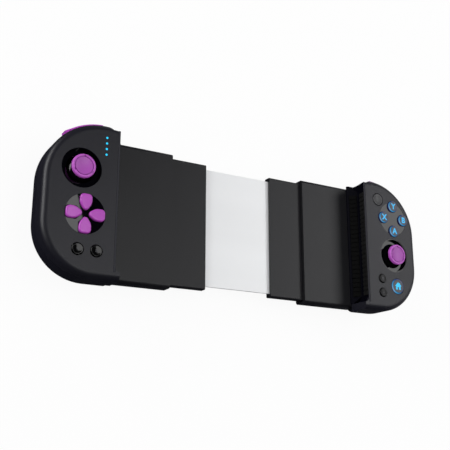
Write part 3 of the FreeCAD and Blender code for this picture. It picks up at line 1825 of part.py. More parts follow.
def main():
    make_plate()
    for side in (LEFT, RIGHT):
        make_sleeve(side)
        make_housing(side, "front")
        make_housing(side, "back")
        make_grip(side)
    make_buttons()
    make_dpad()
    make_dpad_disc()
    make_face_disc()
    make_light_guide()
    make_battery()
    make_port()
    DOC.recompute()
    check_document()
    os.makedirs("parts", exist_ok=True)
    for name, item in NODES.items():
        item.Shape.exportStep("parts/" + name + ".step")
    print(len(NODES), "pieces")


main()
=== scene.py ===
"""Telescopic phone gamepad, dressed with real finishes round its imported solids.

X runs from the left grip to the right one, Y towards the shoulder buttons and Z out of
the face. Lengths are in millimetres, but in Softbox and Studio they are in metres unless
their names end in _mm.
"""

import logging
import math
from dataclasses import dataclass
from enum import Enum
from typing import Iterable, Sequence

import bmesh
import bpy
from mathutils import Matrix, Vector


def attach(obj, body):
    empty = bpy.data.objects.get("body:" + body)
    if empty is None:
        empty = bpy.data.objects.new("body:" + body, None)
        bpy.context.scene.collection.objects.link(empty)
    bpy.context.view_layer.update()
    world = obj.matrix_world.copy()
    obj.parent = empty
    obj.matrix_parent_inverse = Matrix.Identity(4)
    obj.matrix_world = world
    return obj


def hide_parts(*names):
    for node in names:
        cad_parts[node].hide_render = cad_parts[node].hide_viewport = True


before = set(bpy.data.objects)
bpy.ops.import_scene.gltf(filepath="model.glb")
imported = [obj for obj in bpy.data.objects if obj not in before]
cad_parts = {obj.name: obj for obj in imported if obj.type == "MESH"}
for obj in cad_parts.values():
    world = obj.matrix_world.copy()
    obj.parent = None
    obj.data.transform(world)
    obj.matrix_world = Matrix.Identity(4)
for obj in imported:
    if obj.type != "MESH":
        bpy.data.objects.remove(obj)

LOG = logging.getLogger("gamepad")
MM = 0.001
# Corners nearer to each other than this are one, in metres
NEAR = 1e-6
NODES: dict[str, bpy.types.Object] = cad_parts

# Short names for the types that repeat
Colour = tuple[float, float, float, float]
Pair = tuple[float, float]
Triple = tuple[float, float, float]
Mesh = bmesh.types.BMesh
Edge = bmesh.types.BMEdge
Socket = bpy.types.NodeSocket

# Edges of a new piece that turn by more than this stay hard
HARD_ANGLE = math.radians(38)
# Edges of a CAD node that turn by more than this get broken, with so many faces
BROKEN_ANGLE = math.radians(40)
BROKEN_FACES = 2
# How near to a ring, or to the top of a block, a corner counts as on it, in mm
RING_REACH = 1e-3
TOP_REACH = 1e-4
# Grain of a surface: its octaves, the part of the noise that is used, and how far it
# takes the roughness down and up
GRAIN_DETAIL = 3.0
GRAIN_LOW, GRAIN_HIGH = 0.3, 0.7
ROUGH_LESS, ROUGH_MORE = 0.94, 1.06
# Slow change of tone over a piece: its width in mm, octaves and the part that is used
TONE_MM = 30.0
TONE_DETAIL = 2.0
TONE_STOPS = (0.35, 0.65)
# Half the thickness of an inlay in mm, and the parts of each bend of a letter
INLAY_HALF = 0.03
BEND_PARTS = 6


def linear(code: str) -> Colour:
    """Turn an sRGB hex colour into linear values.

    Args:
        code: the colour, such as "#B05CB8".

    Returns:
        Red, green, blue and an alpha of 1.
    """
    parts = [int(code[start:start + 2], 16) / 255 for start in (1, 3, 5)]
    flat = [part / 12.92 if part <= 0.04045 else ((part + 0.055) / 1.055) ** 2.4
            for part in parts]
    return flat[0], flat[1], flat[2], 1.0


def shaded(colour: Colour, share: float) -> Colour:
    """Make a colour darker or lighter.

    Args:
        colour: the linear colour.
        share: what it is multiplied by.

    Returns:
        The new colour.
    """
    return tuple(min(1.0, part * share) for part in colour[:3]) + (1.0,)


def add_node(tree: bpy.types.NodeTree, kind: str, inputs: dict | None = None,
             **settings: object) -> bpy.types.Node:
    """Add a node with its settings, its socket values and its links.

    Args:
        tree: the node tree that gets the node.
        kind: the node's type without "ShaderNode", such as "Bump".
        inputs: socket name or number to a value, or to an output socket to link.
        settings: properties of the node itself.

    Returns:
        The new node.
    """
    node = tree.nodes.new("ShaderNode" + kind)
    for name, value in settings.items():
        setattr(node, name, value)
    for name, value in (inputs or {}).items():
        socket = node.inputs[name]
        if isinstance(value, Socket):
            tree.links.new(value, socket)
        else:
            socket.default_value = value
    return node


class Side(Enum):
    """Which grip a piece belongs to; the value is the sign of X."""

    LEFT = -1
    RIGHT = 1

    @property
    def word(self) -> str:
        """The word that the nodes of this side start with."""
        return self.name.lower()


class Texture(Enum):
    """How the surface of a finish was made: stretch of its grain along X, Y and Z."""

    SPARKED = (1.0, 1.0, 1.0)
    # Even too, but the very same value would only be a second name for SPARKED
    POLISHED = (0.98, 0.98, 0.98)
    BRUSHED = (0.02, 1.0, 1.0)


@dataclass(frozen=True)
class Finish:
    """One real material: grain_mm and depth_mm are the width and depth of its grain."""

    name: str
    colour: str
    roughness: float
    texture: Texture
    grain_mm: float = 0.4
    depth_mm: float = 0.01
    mottle: float = 0.08
    metallic: float = 0.0
    ior: float = 1.5
    specular: float = 0.5
    glow: str = ""
    glow_strength: float = 0.0

    def material(self) -> bpy.types.Material:
        """Build the material, once.

        Returns:
            The material.
        """
        existing = bpy.data.materials.get(self.name)
        if existing is not None:
            return existing
        material = bpy.data.materials.new(self.name)
        material.use_nodes = True
        tree = material.node_tree
        shader = next(node for node in tree.nodes if node.type == "BSDF_PRINCIPLED")
        shader.inputs["Metallic"].default_value = self.metallic
        shader.inputs["IOR"].default_value = self.ior
        shader.inputs["Specular IOR Level"].default_value = self.specular
        place = add_node(tree, "TexCoord").outputs["Object"]
        where = add_node(tree, "Mapping", {
            "Vector": place, "Scale": self.texture.value}).outputs["Vector"]
        fine = add_node(tree, "TexNoise", {
            "Vector": where, "Scale": 1 / (self.grain_mm * MM),
            "Detail": GRAIN_DETAIL}).outputs["Fac"]
        tree.links.new(self.base(tree, place, where), shader.inputs["Base Color"])
        rough = add_node(tree, "MapRange", {
            "Value": fine, "From Min": GRAIN_LOW, "From Max": GRAIN_HIGH,
            "To Min": self.roughness * ROUGH_LESS,
            "To Max": min(1.0, self.roughness * ROUGH_MORE)})
        tree.links.new(rough.outputs["Result"], shader.inputs["Roughness"])
        bump = add_node(tree, "Bump", {
            "Height": fine, "Distance": self.depth_mm * MM})
        tree.links.new(bump.outputs["Normal"], shader.inputs["Normal"])
        if self.glow:
            shader.inputs["Emission Color"].default_value = linear(self.glow)
            shader.inputs["Emission Strength"].default_value = self.glow_strength
        return material

    def base(self, tree: bpy.types.NodeTree, place: Socket, where: Socket) -> Socket:
        """Mix the base colour with its slow change over the piece.

        Args:
            tree: the material's nodes.
            place: object coordinates, which a finish with a painted rim highlight reads.
            where: the same, stretched the way that the surface was worked.

        Returns:
            The socket that gives the colour.
        """
        broad = add_node(tree, "TexNoise", {
            "Vector": where, "Scale": 1 / (TONE_MM * MM), "Detail": TONE_DETAIL})
        colour = linear(self.colour)
        ramp = add_node(tree, "ValToRGB", {"Fac": broad.outputs["Fac"]})
        for stop, spot, share in zip(ramp.color_ramp.elements, TONE_STOPS,
                                     (1 - self.mottle, 1 + self.mottle)):
            stop.position = spot
            stop.color = shaded(colour, share)
        return ramp.outputs["Color"]


@dataclass(frozen=True)
class RimHighlightFinish(Finish):
    """A finish with a painted highlight: paler above a height, along the thin rim beside
    the phone.
    """

    rim_highlight_colour: str = "#36363B"
    rim_from_mm: float = 30.95
    rim_blend_mm: float = 0.1

    def base(self, tree: bpy.types.NodeTree, place: Socket, where: Socket) -> Socket:
        """Mix the painted highlight of the rim over the base colour.

        Args:
            tree: the material's nodes.
            place: object coordinates, whose height places the painted rim highlight.
            where: the same, stretched the way that the surface was worked.

        Returns:
            The socket that gives the colour.
        """
        plain = super().base(tree, place, where)
        height = add_node(tree, "SeparateXYZ", {"Vector": place}).outputs["Z"]
        above = add_node(tree, "MapRange", {
            "Value": height, "From Min": self.rim_from_mm * MM,
            "From Max": (self.rim_from_mm + self.rim_blend_mm) * MM})
        # The pale rim is a painted highlight over the base colour
        mixed = add_node(tree, "Mix", {
            0: above.outputs["Result"], 6: plain, 7: linear(self.rim_highlight_colour)},
            data_type="RGBA")
        return mixed.outputs[2]


@dataclass(frozen=True)
class LitRim:
    """Clear acrylic rim lit from below, with painted light: pale highlight one side,
    violet reflection the other.
    """

    name: str
    middle: Pair
    radius: float
    wall_top: float
    roughness: float = 0.5
    strength: float = 0.85
    # The glow is painted light: a pale painted highlight on one side, fading through dark
    # blue to a violet painted reflection on the far side
    painted_highlight_way: Triple = (-0.85, -0.53, 0.0)
    base_colour: str = "#14141E"
    painted_violet_end: str = "#666C92"
    painted_highlight_end: str = "#88AACC"
    between: tuple[tuple[float, str], ...] = (
        (0.2, "#4C5078"), (0.45, "#2A3E70"), (0.72, "#2A80B8"), (0.9, "#3A9CD0"))
    # Below the top of its wall the rim glows this dim navy instead of the painted
    # gradient
    wall_colour: str = "#161E48"
    wall_blend_mm: float = 0.15
    grain_mm: float = 0.5
    depth_mm: float = 0.002

    def material(self) -> bpy.types.Material:
        """Build the material, with its painted highlight centred on the button.

        Returns:
            The material.
        """
        material = bpy.data.materials.new(self.name)
        material.use_nodes = True
        tree = material.node_tree
        shader = next(node for node in tree.nodes if node.type == "BSDF_PRINCIPLED")
        shader.inputs["Roughness"].default_value = self.roughness
        shader.inputs["Base Color"].default_value = linear(self.base_colour)
        place = add_node(tree, "TexCoord").outputs["Object"]
        shift = (-self.middle[0] * MM, -self.middle[1] * MM, 0.0)
        where = add_node(tree, "Mapping", {"Vector": place, "Location": shift})
        # Painted light across the rim, from the violet painted reflection on one side to
        # the pale painted highlight on the other
        along = add_node(tree, "VectorMath", {
            0: where.outputs["Vector"], 1: self.painted_highlight_way}, operation="DOT_PRODUCT")
        share = add_node(tree, "MapRange", {
            "Value": along.outputs["Value"], "From Min": -self.radius * MM,
            "From Max": self.radius * MM})
        ramp = add_node(tree, "ValToRGB", {"Fac": share.outputs["Result"]})
        stops = ramp.color_ramp.elements
        stops[0].color, stops[1].color = linear(self.painted_violet_end), linear(self.painted_highlight_end)
        for spot, code in self.between:
            stops.new(spot).color = linear(code)
        height = add_node(tree, "SeparateXYZ", {"Vector": place}).outputs["Z"]
        above = add_node(tree, "MapRange", {
            "Value": height, "From Min": (self.wall_top - self.wall_blend_mm) * MM,
            "From Max": self.wall_top * MM})
        # The wall glows dim navy, the slope above it glows with the painted gradient
        glow = add_node(tree, "Mix", {
            0: above.outputs["Result"], 6: linear(self.wall_colour),
            7: ramp.outputs["Color"]}, data_type="RGBA")
        grain = add_node(tree, "TexNoise", {
            "Vector": place, "Scale": 1 / (self.grain_mm * MM)})
        bump = add_node(tree, "Bump", {
            "Height": grain.outputs["Fac"], "Distance": self.depth_mm * MM})
        tree.links.new(bump.outputs["Normal"], shader.inputs["Normal"])
        tree.links.new(glow.outputs[2], shader.inputs["Emission Color"])
        shader.inputs["Emission Strength"].default_value = self.strength
        return material


# Black ABS off a finely spark-eroded mould: a soft sheen with no mirror image. The real
# grain is under 0.1 mm and is drawn at 0.35 to 0.5 mm, so that it shows
FACE_ABS = Finish("black_abs_face", "#10101B", 0.44, Texture.SPARKED, 0.35, 0.005,
                  specular=0.57)
BACK_ABS = Finish("black_abs_back", "#0C0C18", 0.45, Texture.SPARKED, 0.5, 0.01)
BRIDGE_ABS = Finish("black_abs_bridge", "#111115", 0.43, Texture.SPARKED, 0.45, 0.005)
# The same ABS off a coarsely blasted mould: nearly without sheen, and with a
# pale painted highlight along its top rim
CRADLE_ABS = RimHighlightFinish("black_abs_cradle", "#03030C", 0.65, Texture.SPARKED, 0.4,
                          0.006, specular=0.06)
# Moulded silicone rubber: dull black. The dust-fine skin of its blasted mould is drawn
# at 0.3 mm, so that it shows
STRIP_RUBBER = Finish("silicone_rubber", "#040404", 0.75, Texture.SPARKED, 0.3, 0.01,
                      specular=0.1)
# A lighter copy of the same rubber for the upper strips: painted light
PAINTED_LIGHT_RUBBER = Finish("silicone_rubber_painted_light", "#101010", 0.6, Texture.SPARKED, 0.3, 0.01,
                      specular=0.3)
# Brushed, clear-lacquered aluminium sheet: bright and half matt, with fine streaks along
# the bridge that are drawn at 0.6 mm, some six times their real width
SHEET_ALUMINIUM = Finish("brushed_aluminium", "#F6F7F8", 0.5, Texture.BRUSHED, 0.6, 0.004,
                         mottle=0.02, metallic=0.4)
# Piano-black ABS: a dark mirror that shows the softboxes
GLOSS_BLACK = Finish("gloss_black_abs", "#020205", 0.02, Texture.POLISHED, 2.0, 0.0005)
# Acetal of the moving stick parts: waxy black
BLACK_POM = Finish("black_acetal", "#030303", 0.15, Texture.POLISHED, 1.5, 0.001)
# Moulded purple ABS: satin caps with a broad, soft highlight, and glossier keys
CAP_PURPLE = Finish("satin_purple_abs", "#B454BC", 0.38, Texture.SPARKED, 0.4, 0.003,
                    mottle=0.03)
DISH_PURPLE = Finish("matt_purple_abs", "#A24AAA", 0.36, Texture.SPARKED, 0.3, 0.006,
                     mottle=0.03)
KEY_PURPLE = Finish("moulded_purple_abs", "#B04CB6", 0.16, Texture.POLISHED, 0.5, 0.0004,
                    mottle=0.03)
# Smoked polycarbonate cap over the lamp of a button: dark grey and half glossy
LIT_CAP = Finish("smoked_polycarbonate", "#3E3E46", 0.35, Texture.POLISHED, 0.5, 0.002)
# Moulded translucent acrylic that a blue lamp shines through evenly
LIT_LETTER = Finish("lit_acrylic_letter", "#0A3C5A", 0.35, Texture.POLISHED, 0.5, 0.001,
                    mottle=0.02, glow="#24B4F0", glow_strength=0.9)
LIT_HOUSE = Finish("lit_acrylic_house", "#0A3C5A", 0.35, Texture.POLISHED, 0.5, 0.001,
                   mottle=0.02, glow="#04CCFF", glow_strength=0.85)
LIT_PIPE = Finish("lit_acrylic_pipe", "#20B8E0", 0.25, Texture.POLISHED, 0.5, 0.001,
                  mottle=0.02, glow="#22C8FF", glow_strength=0.6)
# Moulded ABS of the small buttons: grey with a soft sheen, glassy black, black satin
GREY_ABS = Finish("grey_moulded_abs", "#3F3F41", 0.4, Texture.SPARKED, 0.4, 0.004)
DARK_GLOSS = Finish("smoked_gloss_abs", "#050505", 0.09, Texture.POLISHED, 1.5, 0.0005,
                    specular=0.36)
DARK_SATIN = Finish("smoked_satin_abs", "#0C0C0E", 0.3, Texture.POLISHED, 1.0, 0.001,
                    specular=0.24)
# Pad-printed grey ink: matt
LEGEND_GREY = Finish("grey_pad_print", "#55555A", 0.5, Texture.POLISHED, 0.3, 0.001)
# Nickel plate over steel: a bright yellowish mirror with faint drawing marks
NICKEL = Finish("nickel_plated_steel", "#C9C6BF", 0.25, Texture.BRUSHED, 0.5, 0.001,
                mottle=0.03, metallic=1.0)
# Sprayed green solder mask over copper: half glossy
BOARD_GREEN = Finish("green_solder_mask", "#0E4A2C", 0.35, Texture.POLISHED, 0.5, 0.003)
# Aluminised film of a lithium pouch cell: wrinkled and satin
CELL_FILM = Finish("aluminised_cell_film", "#B9BBC0", 0.35, Texture.SPARKED, 3.0, 0.05)


def dress(name: str, finish: Finish) -> None:
    """Give a CAD node its finish.

    Args:
        name: the node's name.
        finish: what it is made of.
    """
    node = NODES[name]
    if not node.material_slots:
        node.data.materials.append(finish.material())
    for slot in node.material_slots:
        slot.material = finish.material()


def soften(name: str, width_mm: float) -> None:
    """Break the sharp edges of a CAD node, which else show as knife edges.

    Args:
        name: the node's name.
        width_mm: width of the broken edge.
    """
    node = NODES[name]
    weld = node.modifiers.new("weld", "WELD")
    weld.merge_threshold = NEAR
    broken = node.modifiers.new("broken_edges", "BEVEL")
    broken.width = width_mm * MM
    broken.segments = BROKEN_FACES
    broken.limit_method = "ANGLE"
    broken.angle_limit = BROKEN_ANGLE
    broken.harden_normals = True


def add_piece(name: str, mesh: Mesh, finish: Finish | LitRim, body: str,
              stands_for: Iterable[str] = ()) -> bpy.types.Object:
    """Finish a mesh that was built in millimetres and hang it on its body.

    Args:
        name: the piece's name.
        mesh: its shape, in millimetres.
        finish: its material.
        body: the body that it moves with.
        stands_for: CAD nodes that it replaces.

    Returns:
        The new object.
    """
    bmesh.ops.remove_doubles(mesh, verts=mesh.verts, dist=NEAR / MM)
    bmesh.ops.recalc_face_normals(mesh, faces=mesh.faces)
    bmesh.ops.scale(mesh, vec=(MM, MM, MM), verts=mesh.verts)
    for face in mesh.faces:
        face.smooth = True
    data = bpy.data.meshes.new(name)
    mesh.to_mesh(data)
    mesh.free()
    data.set_sharp_from_angle(angle=HARD_ANGLE)
    data.materials.append(finish.material())
    piece = bpy.data.objects.new(name, data)
    bpy.context.scene.collection.objects.link(piece)
    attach(piece, body)
    if stands_for:
        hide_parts(*stands_for)
    return piece


def turned(path: Sequence[Pair], middle: Pair, rounds: dict[int, float],
           steps: int = 64) -> Mesh:
    """Turn a profile round an upright axis and round its corners.

    Args:
        path: radius and height of each corner, in millimetres.
        middle: X and Y of the axis.
        rounds: number of a corner to the width of its rounding.
        steps: faces round the axis.

    Returns:
        The mesh, in millimetres.
    """
    mesh = bmesh.new()
    line = [mesh.verts.new((middle[0] + radius, middle[1], height))
            for radius, height in path]
    edges = [mesh.edges.new(pair) for pair in zip(line, line[1:])]
    bmesh.ops.spin(mesh, geom=line + edges, cent=(*middle, 0.0), axis=(0.0, 0.0, 1.0),
                   angle=math.tau, steps=steps, use_merge=True)
    bmesh.ops.remove_doubles(mesh, verts=mesh.verts, dist=NEAR / MM)
    bmesh.ops.recalc_face_normals(mesh, faces=mesh.faces)
    for corner, width in rounds.items():
        radius, height = path[corner]
        bevel(mesh, ring_edges(mesh, middle, radius, height), width)
    return mesh


def ring_edges(mesh: Mesh, middle: Pair, radius: float, height: float) -> list[Edge]:
    """Find the edges of one ring of a turned shape.

    Args:
        mesh: the turned shape.
        middle: X and Y of its axis.
        radius: radius of the ring.
        height: its height.

    Returns:
        The ring's edges.
    """
    def on_ring(vert: bmesh.types.BMVert) -> bool:
        """Tell whether a corner lies on the ring."""
        out = math.hypot(vert.co.x - middle[0], vert.co.y - middle[1])
        return abs(out - radius) < RING_REACH and abs(vert.co.z - height) < RING_REACH
    return [edge for edge in mesh.edges if all(on_ring(vert) for vert in edge.verts)]


def bevel(mesh: Mesh, edges: list[Edge], width: float, segments: int = 4) -> None:
    """Round some edges.

    Args:
        mesh: the mesh that they belong to.
        edges: the edges.
        width: how far the rounding reaches.
        segments: faces across it.
    """
    bmesh.ops.bevel(mesh, geom=edges, offset=width, offset_type="OFFSET", affect="EDGES",
                    segments=segments, profile=0.5, material=-1, clamp_overlap=True)


def prism(outline: Sequence[Pair], low: float, high: float,
          corners: dict[int, float] | None = None, segments: int = 6) -> Mesh:
    """Raise a flat outline with rounded corners to a block.

    Args:
        outline: X and Y of each corner.
        low: height of its underside.
        high: height of its top.
        corners: number of a corner to the width of its rounding.
        segments: faces round each rounded corner.

    Returns:
        The block, in millimetres.
    """
    mesh = bmesh.new()
    verts = [mesh.verts.new((x, y, low)) for x, y in outline]
    mesh.faces.new(verts)
    for corner, width in (corners or {}).items():
        place = Vector((*outline[corner], low))
        near = min(mesh.verts, key=lambda vert: (vert.co - place).length)
        bmesh.ops.bevel(mesh, geom=[near], offset=width, offset_type="OFFSET",
                        affect="VERTICES", segments=segments, profile=0.5, material=-1)
    raised = bmesh.ops.extrude_face_region(mesh, geom=list(mesh.faces))["geom"]
    top = [item for item in raised if isinstance(item, bmesh.types.BMVert)]
    bmesh.ops.translate(mesh, vec=(0.0, 0.0, high - low), verts=top)
    bmesh.ops.recalc_face_normals(mesh, faces=mesh.faces)
    return mesh


def top_edges(mesh: Mesh, height: float) -> list[Edge]:
    """Find the outline of a block's top.

    Args:
        mesh: the block.
        height: height of its top.

    Returns:
        The edges between the top and the sides.
    """
    def flat_faces(edge: Edge) -> int:
        """Count the faces of an edge that lie in the top."""
        return sum(all(abs(vert.co.z - height) < TOP_REACH for vert in face.verts)
                   for face in edge.link_faces)
    return [edge for edge in mesh.edges if flat_faces(edge) == 1]


def arc(radius: float, low: float, rise: float, parts: int = 6) -> list[Pair]:
    """Points of a shallow dome or dish, from its edge to its middle.

    Args:
        radius: radius of its edge.
        low: height of its edge.
        rise: how far its middle stands above the edge; a dish has it below 0.
        parts: steps from the edge to the middle.

    Returns:
        Radius and height of each point, the edge first.
    """
    shares = [1 - step / parts for step in range(parts + 1)]
    return [(radius * share, low + rise * (1 - share ** 2)) for share in shares]


def legend(name: str, text: str, size_mm: float, middle: Pair, height: float,
           bold_mm: float = 0.2) -> Mesh:
    """Set one character as a thin inlay.

    Args:
        name: name of the text while it is a curve.
        text: the character.
        size_mm: its size.
        middle: X and Y of its middle.
        height: height of the face that it lies in.
        bold_mm: how much the strokes grow.

    Returns:
        The inlay, in millimetres.
    """
    curve = bpy.data.curves.new(name, "FONT")
    curve.body = text
    curve.size = size_mm
    curve.offset = bold_mm
    curve.extrude = INLAY_HALF
    curve.resolution_u = BEND_PARTS
    holder = bpy.data.objects.new(name, curve)
    bpy.context.scene.collection.objects.link(holder)
    ready = holder.evaluated_get(bpy.context.evaluated_depsgraph_get())
    data = bpy.data.meshes.new_from_object(ready)
    mesh = bmesh.new()
    mesh.from_mesh(data)
    bpy.data.objects.remove(holder)
    bpy.data.curves.remove(curve)
    bpy.data.meshes.remove(data)
    lows = [min(vert.co[axis] for vert in mesh.verts) for axis in (0, 1)]
    highs = [max(vert.co[axis] for vert in mesh.verts) for axis in (0, 1)]
    shift = [centre - (low + high) / 2 for centre, low, high in zip(middle, lows, highs)]
    bmesh.ops.translate(mesh, vec=(*shift, height), verts=mesh.verts)
    return mesh


@dataclass
class Bridge:
    """The aluminium plate with the two sleeves and housings that telescope over it."""

    plate_edge_mm: float = 0.1
    broken_edge_mm: float = 0.18

    def build(self) -> None:
        """Dress the sliding pieces and break their edges."""
        dress("centre_plate", SHEET_ALUMINIUM)
        soften("centre_plate", self.plate_edge_mm)
        for side in Side:
            for name in ("sleeve", "housing_front", "housing_back"):
                dress(side.word + "_" + name, BRIDGE_ABS)
                soften(side.word + "_" + name, self.broken_edge_mm)
        LOG.info("bridge dressed")


@dataclass
class Grip:
    """Shells, cradle, strips and foot of one grip."""

    side: Side
    cradle_edge_mm: float = 0.25
    rib_edge_mm: float = 0.1

    def build(self) -> None:
        """Dress the grip's fixed pieces."""
        word = self.side.word
        for name, finish in (("front_shell", FACE_ABS), ("back_shell", BACK_ABS),
                             # The cradle's finish carries a painted highlight along its
                             # rim
                             ("cradle", CRADLE_ABS), ("lower_strip", STRIP_RUBBER),
                             # The upper strips get the lighter copy of the rubber, which
                             # is painted light
                             ("upper_strip", PAINTED_LIGHT_RUBBER), ("foot", STRIP_RUBBER)):
            dress(word + "_" + name, finish)
        soften(word + "_cradle", self.cradle_edge_mm)
        for name in ("lower_strip", "upper_strip"):
            soften(word + "_" + name, self.rib_edge_mm)
        LOG.info("%s grip dressed", word)


@dataclass
class ThumbStick:
    """Grooved thumb cap of one stick, over its lever, frames and well."""

    side: Side
    middle: Pair
    low: float = 32.6
    top: float = 35.3
    radius: float = 6.75
    under_chamfer: float = 0.6
    rounding: float = 0.7
    chamfer_rounding: float = 0.2
    bore_radius: float = 2.05
    bore_top: float = 33.95
    groove_outer: float = 5.45
    groove_inner: float = 5.0
    groove_depth: float = 0.8
    groove_rounding: float = 0.1
    dish_edge_drop: float = 0.1
    dish_edge_width: float = 0.15
    dish_rounding: float = 0.12
    dish_depth: float = 0.6
    dish_thick: float = 0.25
    dish_lap: float = 0.05
    dish_steps: int = 8
    notch_angles: tuple[float, ...] = (90.0, 210.0, 330.0)
    notch_faces: int = 3
    notch_slope: float = 0.02
    notch_depth: float = 0.55
    steps: int = 96

    def build(self) -> None:
        """Build the cap with its dish, and dress the stick's CAD pieces."""
        word = self.side.word
        body = word + "_stick"
        add_piece(word + "_thumb_cap", self.cap(), CAP_PURPLE, body,
                  [word + "_stick_cap"])
        add_piece(word + "_thumb_dish", self.dish(), DISH_PURPLE, body)
        dress(word + "_stick_well", GLOSS_BLACK)
        for name in ("stick_shaft", "stick_carriage", "stick_yoke", "stick_module"):
            dress(word + "_" + name, BLACK_POM)
        LOG.info("%s thumb stick built", word)

    def floor(self) -> float:
        """Height of the floor that the dish lies on, at the groove."""
        return self.top - self.groove_depth

    def cap(self) -> Mesh:
        """Turn the cap's rim and cut its notches.

        Returns:
            The cap, in millimetres.
        """
        mesh = turned([
            (0.0, self.bore_top), (self.bore_radius, self.bore_top),
            (self.bore_radius, self.low), (self.radius - self.under_chamfer, self.low),
            (self.radius, self.low + self.under_chamfer), (self.radius, self.top),
            (self.groove_outer, self.top), (self.groove_outer, self.floor()),
            (self.groove_inner - self.dish_thick, self.floor()),
            (0.0, self.floor() - self.dish_depth / 2),
        ], self.middle, {5: self.rounding, 4: self.chamfer_rounding,
                         6: self.groove_rounding}, self.steps)
        middle = Vector((*self.middle, self.top))
        rim = [face for face in mesh.faces
               if abs(face.calc_center_median().z - self.top) < RING_REACH]
        for angle in self.notch_angles:
            turn = math.radians(angle)
            way = Vector((math.cos(turn), math.sin(turn), 0.0))
            aim = way * self.groove_outer + middle
            spot = sorted(rim, key=lambda face: (face.calc_center_median() - aim).length)
            spot = spot[:self.notch_faces]
            bmesh.ops.inset_region(mesh, faces=spot, thickness=self.notch_slope)
            low = {vert for face in spot for vert in face.verts}
            bmesh.ops.translate(mesh, vec=(0.0, 0.0, -self.notch_depth), verts=list(low))
        return mesh

    def dish(self) -> Mesh:
        """Turn the dished disc inside the groove.

        Returns:
            The disc, in millimetres.
        """
        edge = self.top - self.dish_edge_drop
        hollow = arc(self.groove_inner - self.dish_edge_width, edge, -self.dish_depth,
                     self.dish_steps)
        path = [(0.0, self.floor() - self.dish_thick),
                (self.groove_inner, self.floor() - self.dish_lap),
                (self.groove_inner, edge)] + hollow
        return turned(path, self.middle, {2: self.dish_rounding}, self.steps)


@dataclass
class DirectionPad:
    """Four leaf-shaped keys over a gloss disc."""

    middle: Pair = (-106.7, -11.0)
    tip: float = 2.1
    tip_half: float = 1.0
    shoulder: float = 5.7
    end: float = 11.1
    half_width: float = 3.45
    end_corner: float = 2.2
    shoulder_corner: float = 1.6
    tip_corner: float = 0.8
    low: float = 28.1
    top: float = 32.8
    crown_edge: float = 0.85
    crown_segments: int = 6
    flat_rim: float = 0.12
    stem_inset: float = 1.3
    foot: float = 20.2
    turns: tuple[tuple[str, float], ...] = (
        ("up", 0.0), ("left", 90.0), ("down", 180.0), ("right", 270.0))

    def build(self) -> None:
        """Build each key and dress the disc."""
        for name, angle in self.turns:
            node = "dpad_" + name
            add_piece(node + "_key", self.key(angle), KEY_PURPLE, node,
                      [node])
            LOG.info("key %s built", name)
        dress("dpad_disc", GLOSS_BLACK)

    def key(self, angle: float) -> Mesh:
        """Raise one key, round its top and give it a stem.

        Args:
            angle: degrees that the key is turned from the one that points along Y.

        Returns:
            The key, in millimetres.
        """
        outline = [(-self.tip_half, self.tip), (self.tip_half, self.tip),
                   (self.half_width, self.shoulder), (self.half_width, self.end),
                   (-self.half_width, self.end), (-self.half_width, self.shoulder)]
        mesh = prism(outline, self.low, self.top, {
            0: self.tip_corner, 1: self.tip_corner, 2: self.shoulder_corner,
            5: self.shoulder_corner, 3: self.end_corner, 4: self.end_corner})
        bevel(mesh, top_edges(mesh, self.top), self.crown_edge, self.crown_segments)
        flat = max(mesh.faces, key=lambda face: face.calc_center_median().z)
        bmesh.ops.inset_region(mesh, faces=[flat], thickness=self.flat_rim)
        base = min(mesh.faces, key=lambda face: face.calc_center_median().z)
        bmesh.ops.inset_region(mesh, faces=[base], thickness=self.stem_inset)
        stem = bmesh.ops.extrude_discrete_faces(mesh, faces=[base])["faces"][0]
        bmesh.ops.translate(mesh, vec=(0.0, 0.0, self.foot - self.low), verts=stem.verts)
        bmesh.ops.rotate(mesh, cent=(0.0, 0.0, 0.0), verts=mesh.verts,
                         matrix=Matrix.Rotation(math.radians(angle), 3, "Z"))
        bmesh.ops.translate(mesh, vec=(*self.middle, 0.0), verts=mesh.verts)
        return mesh


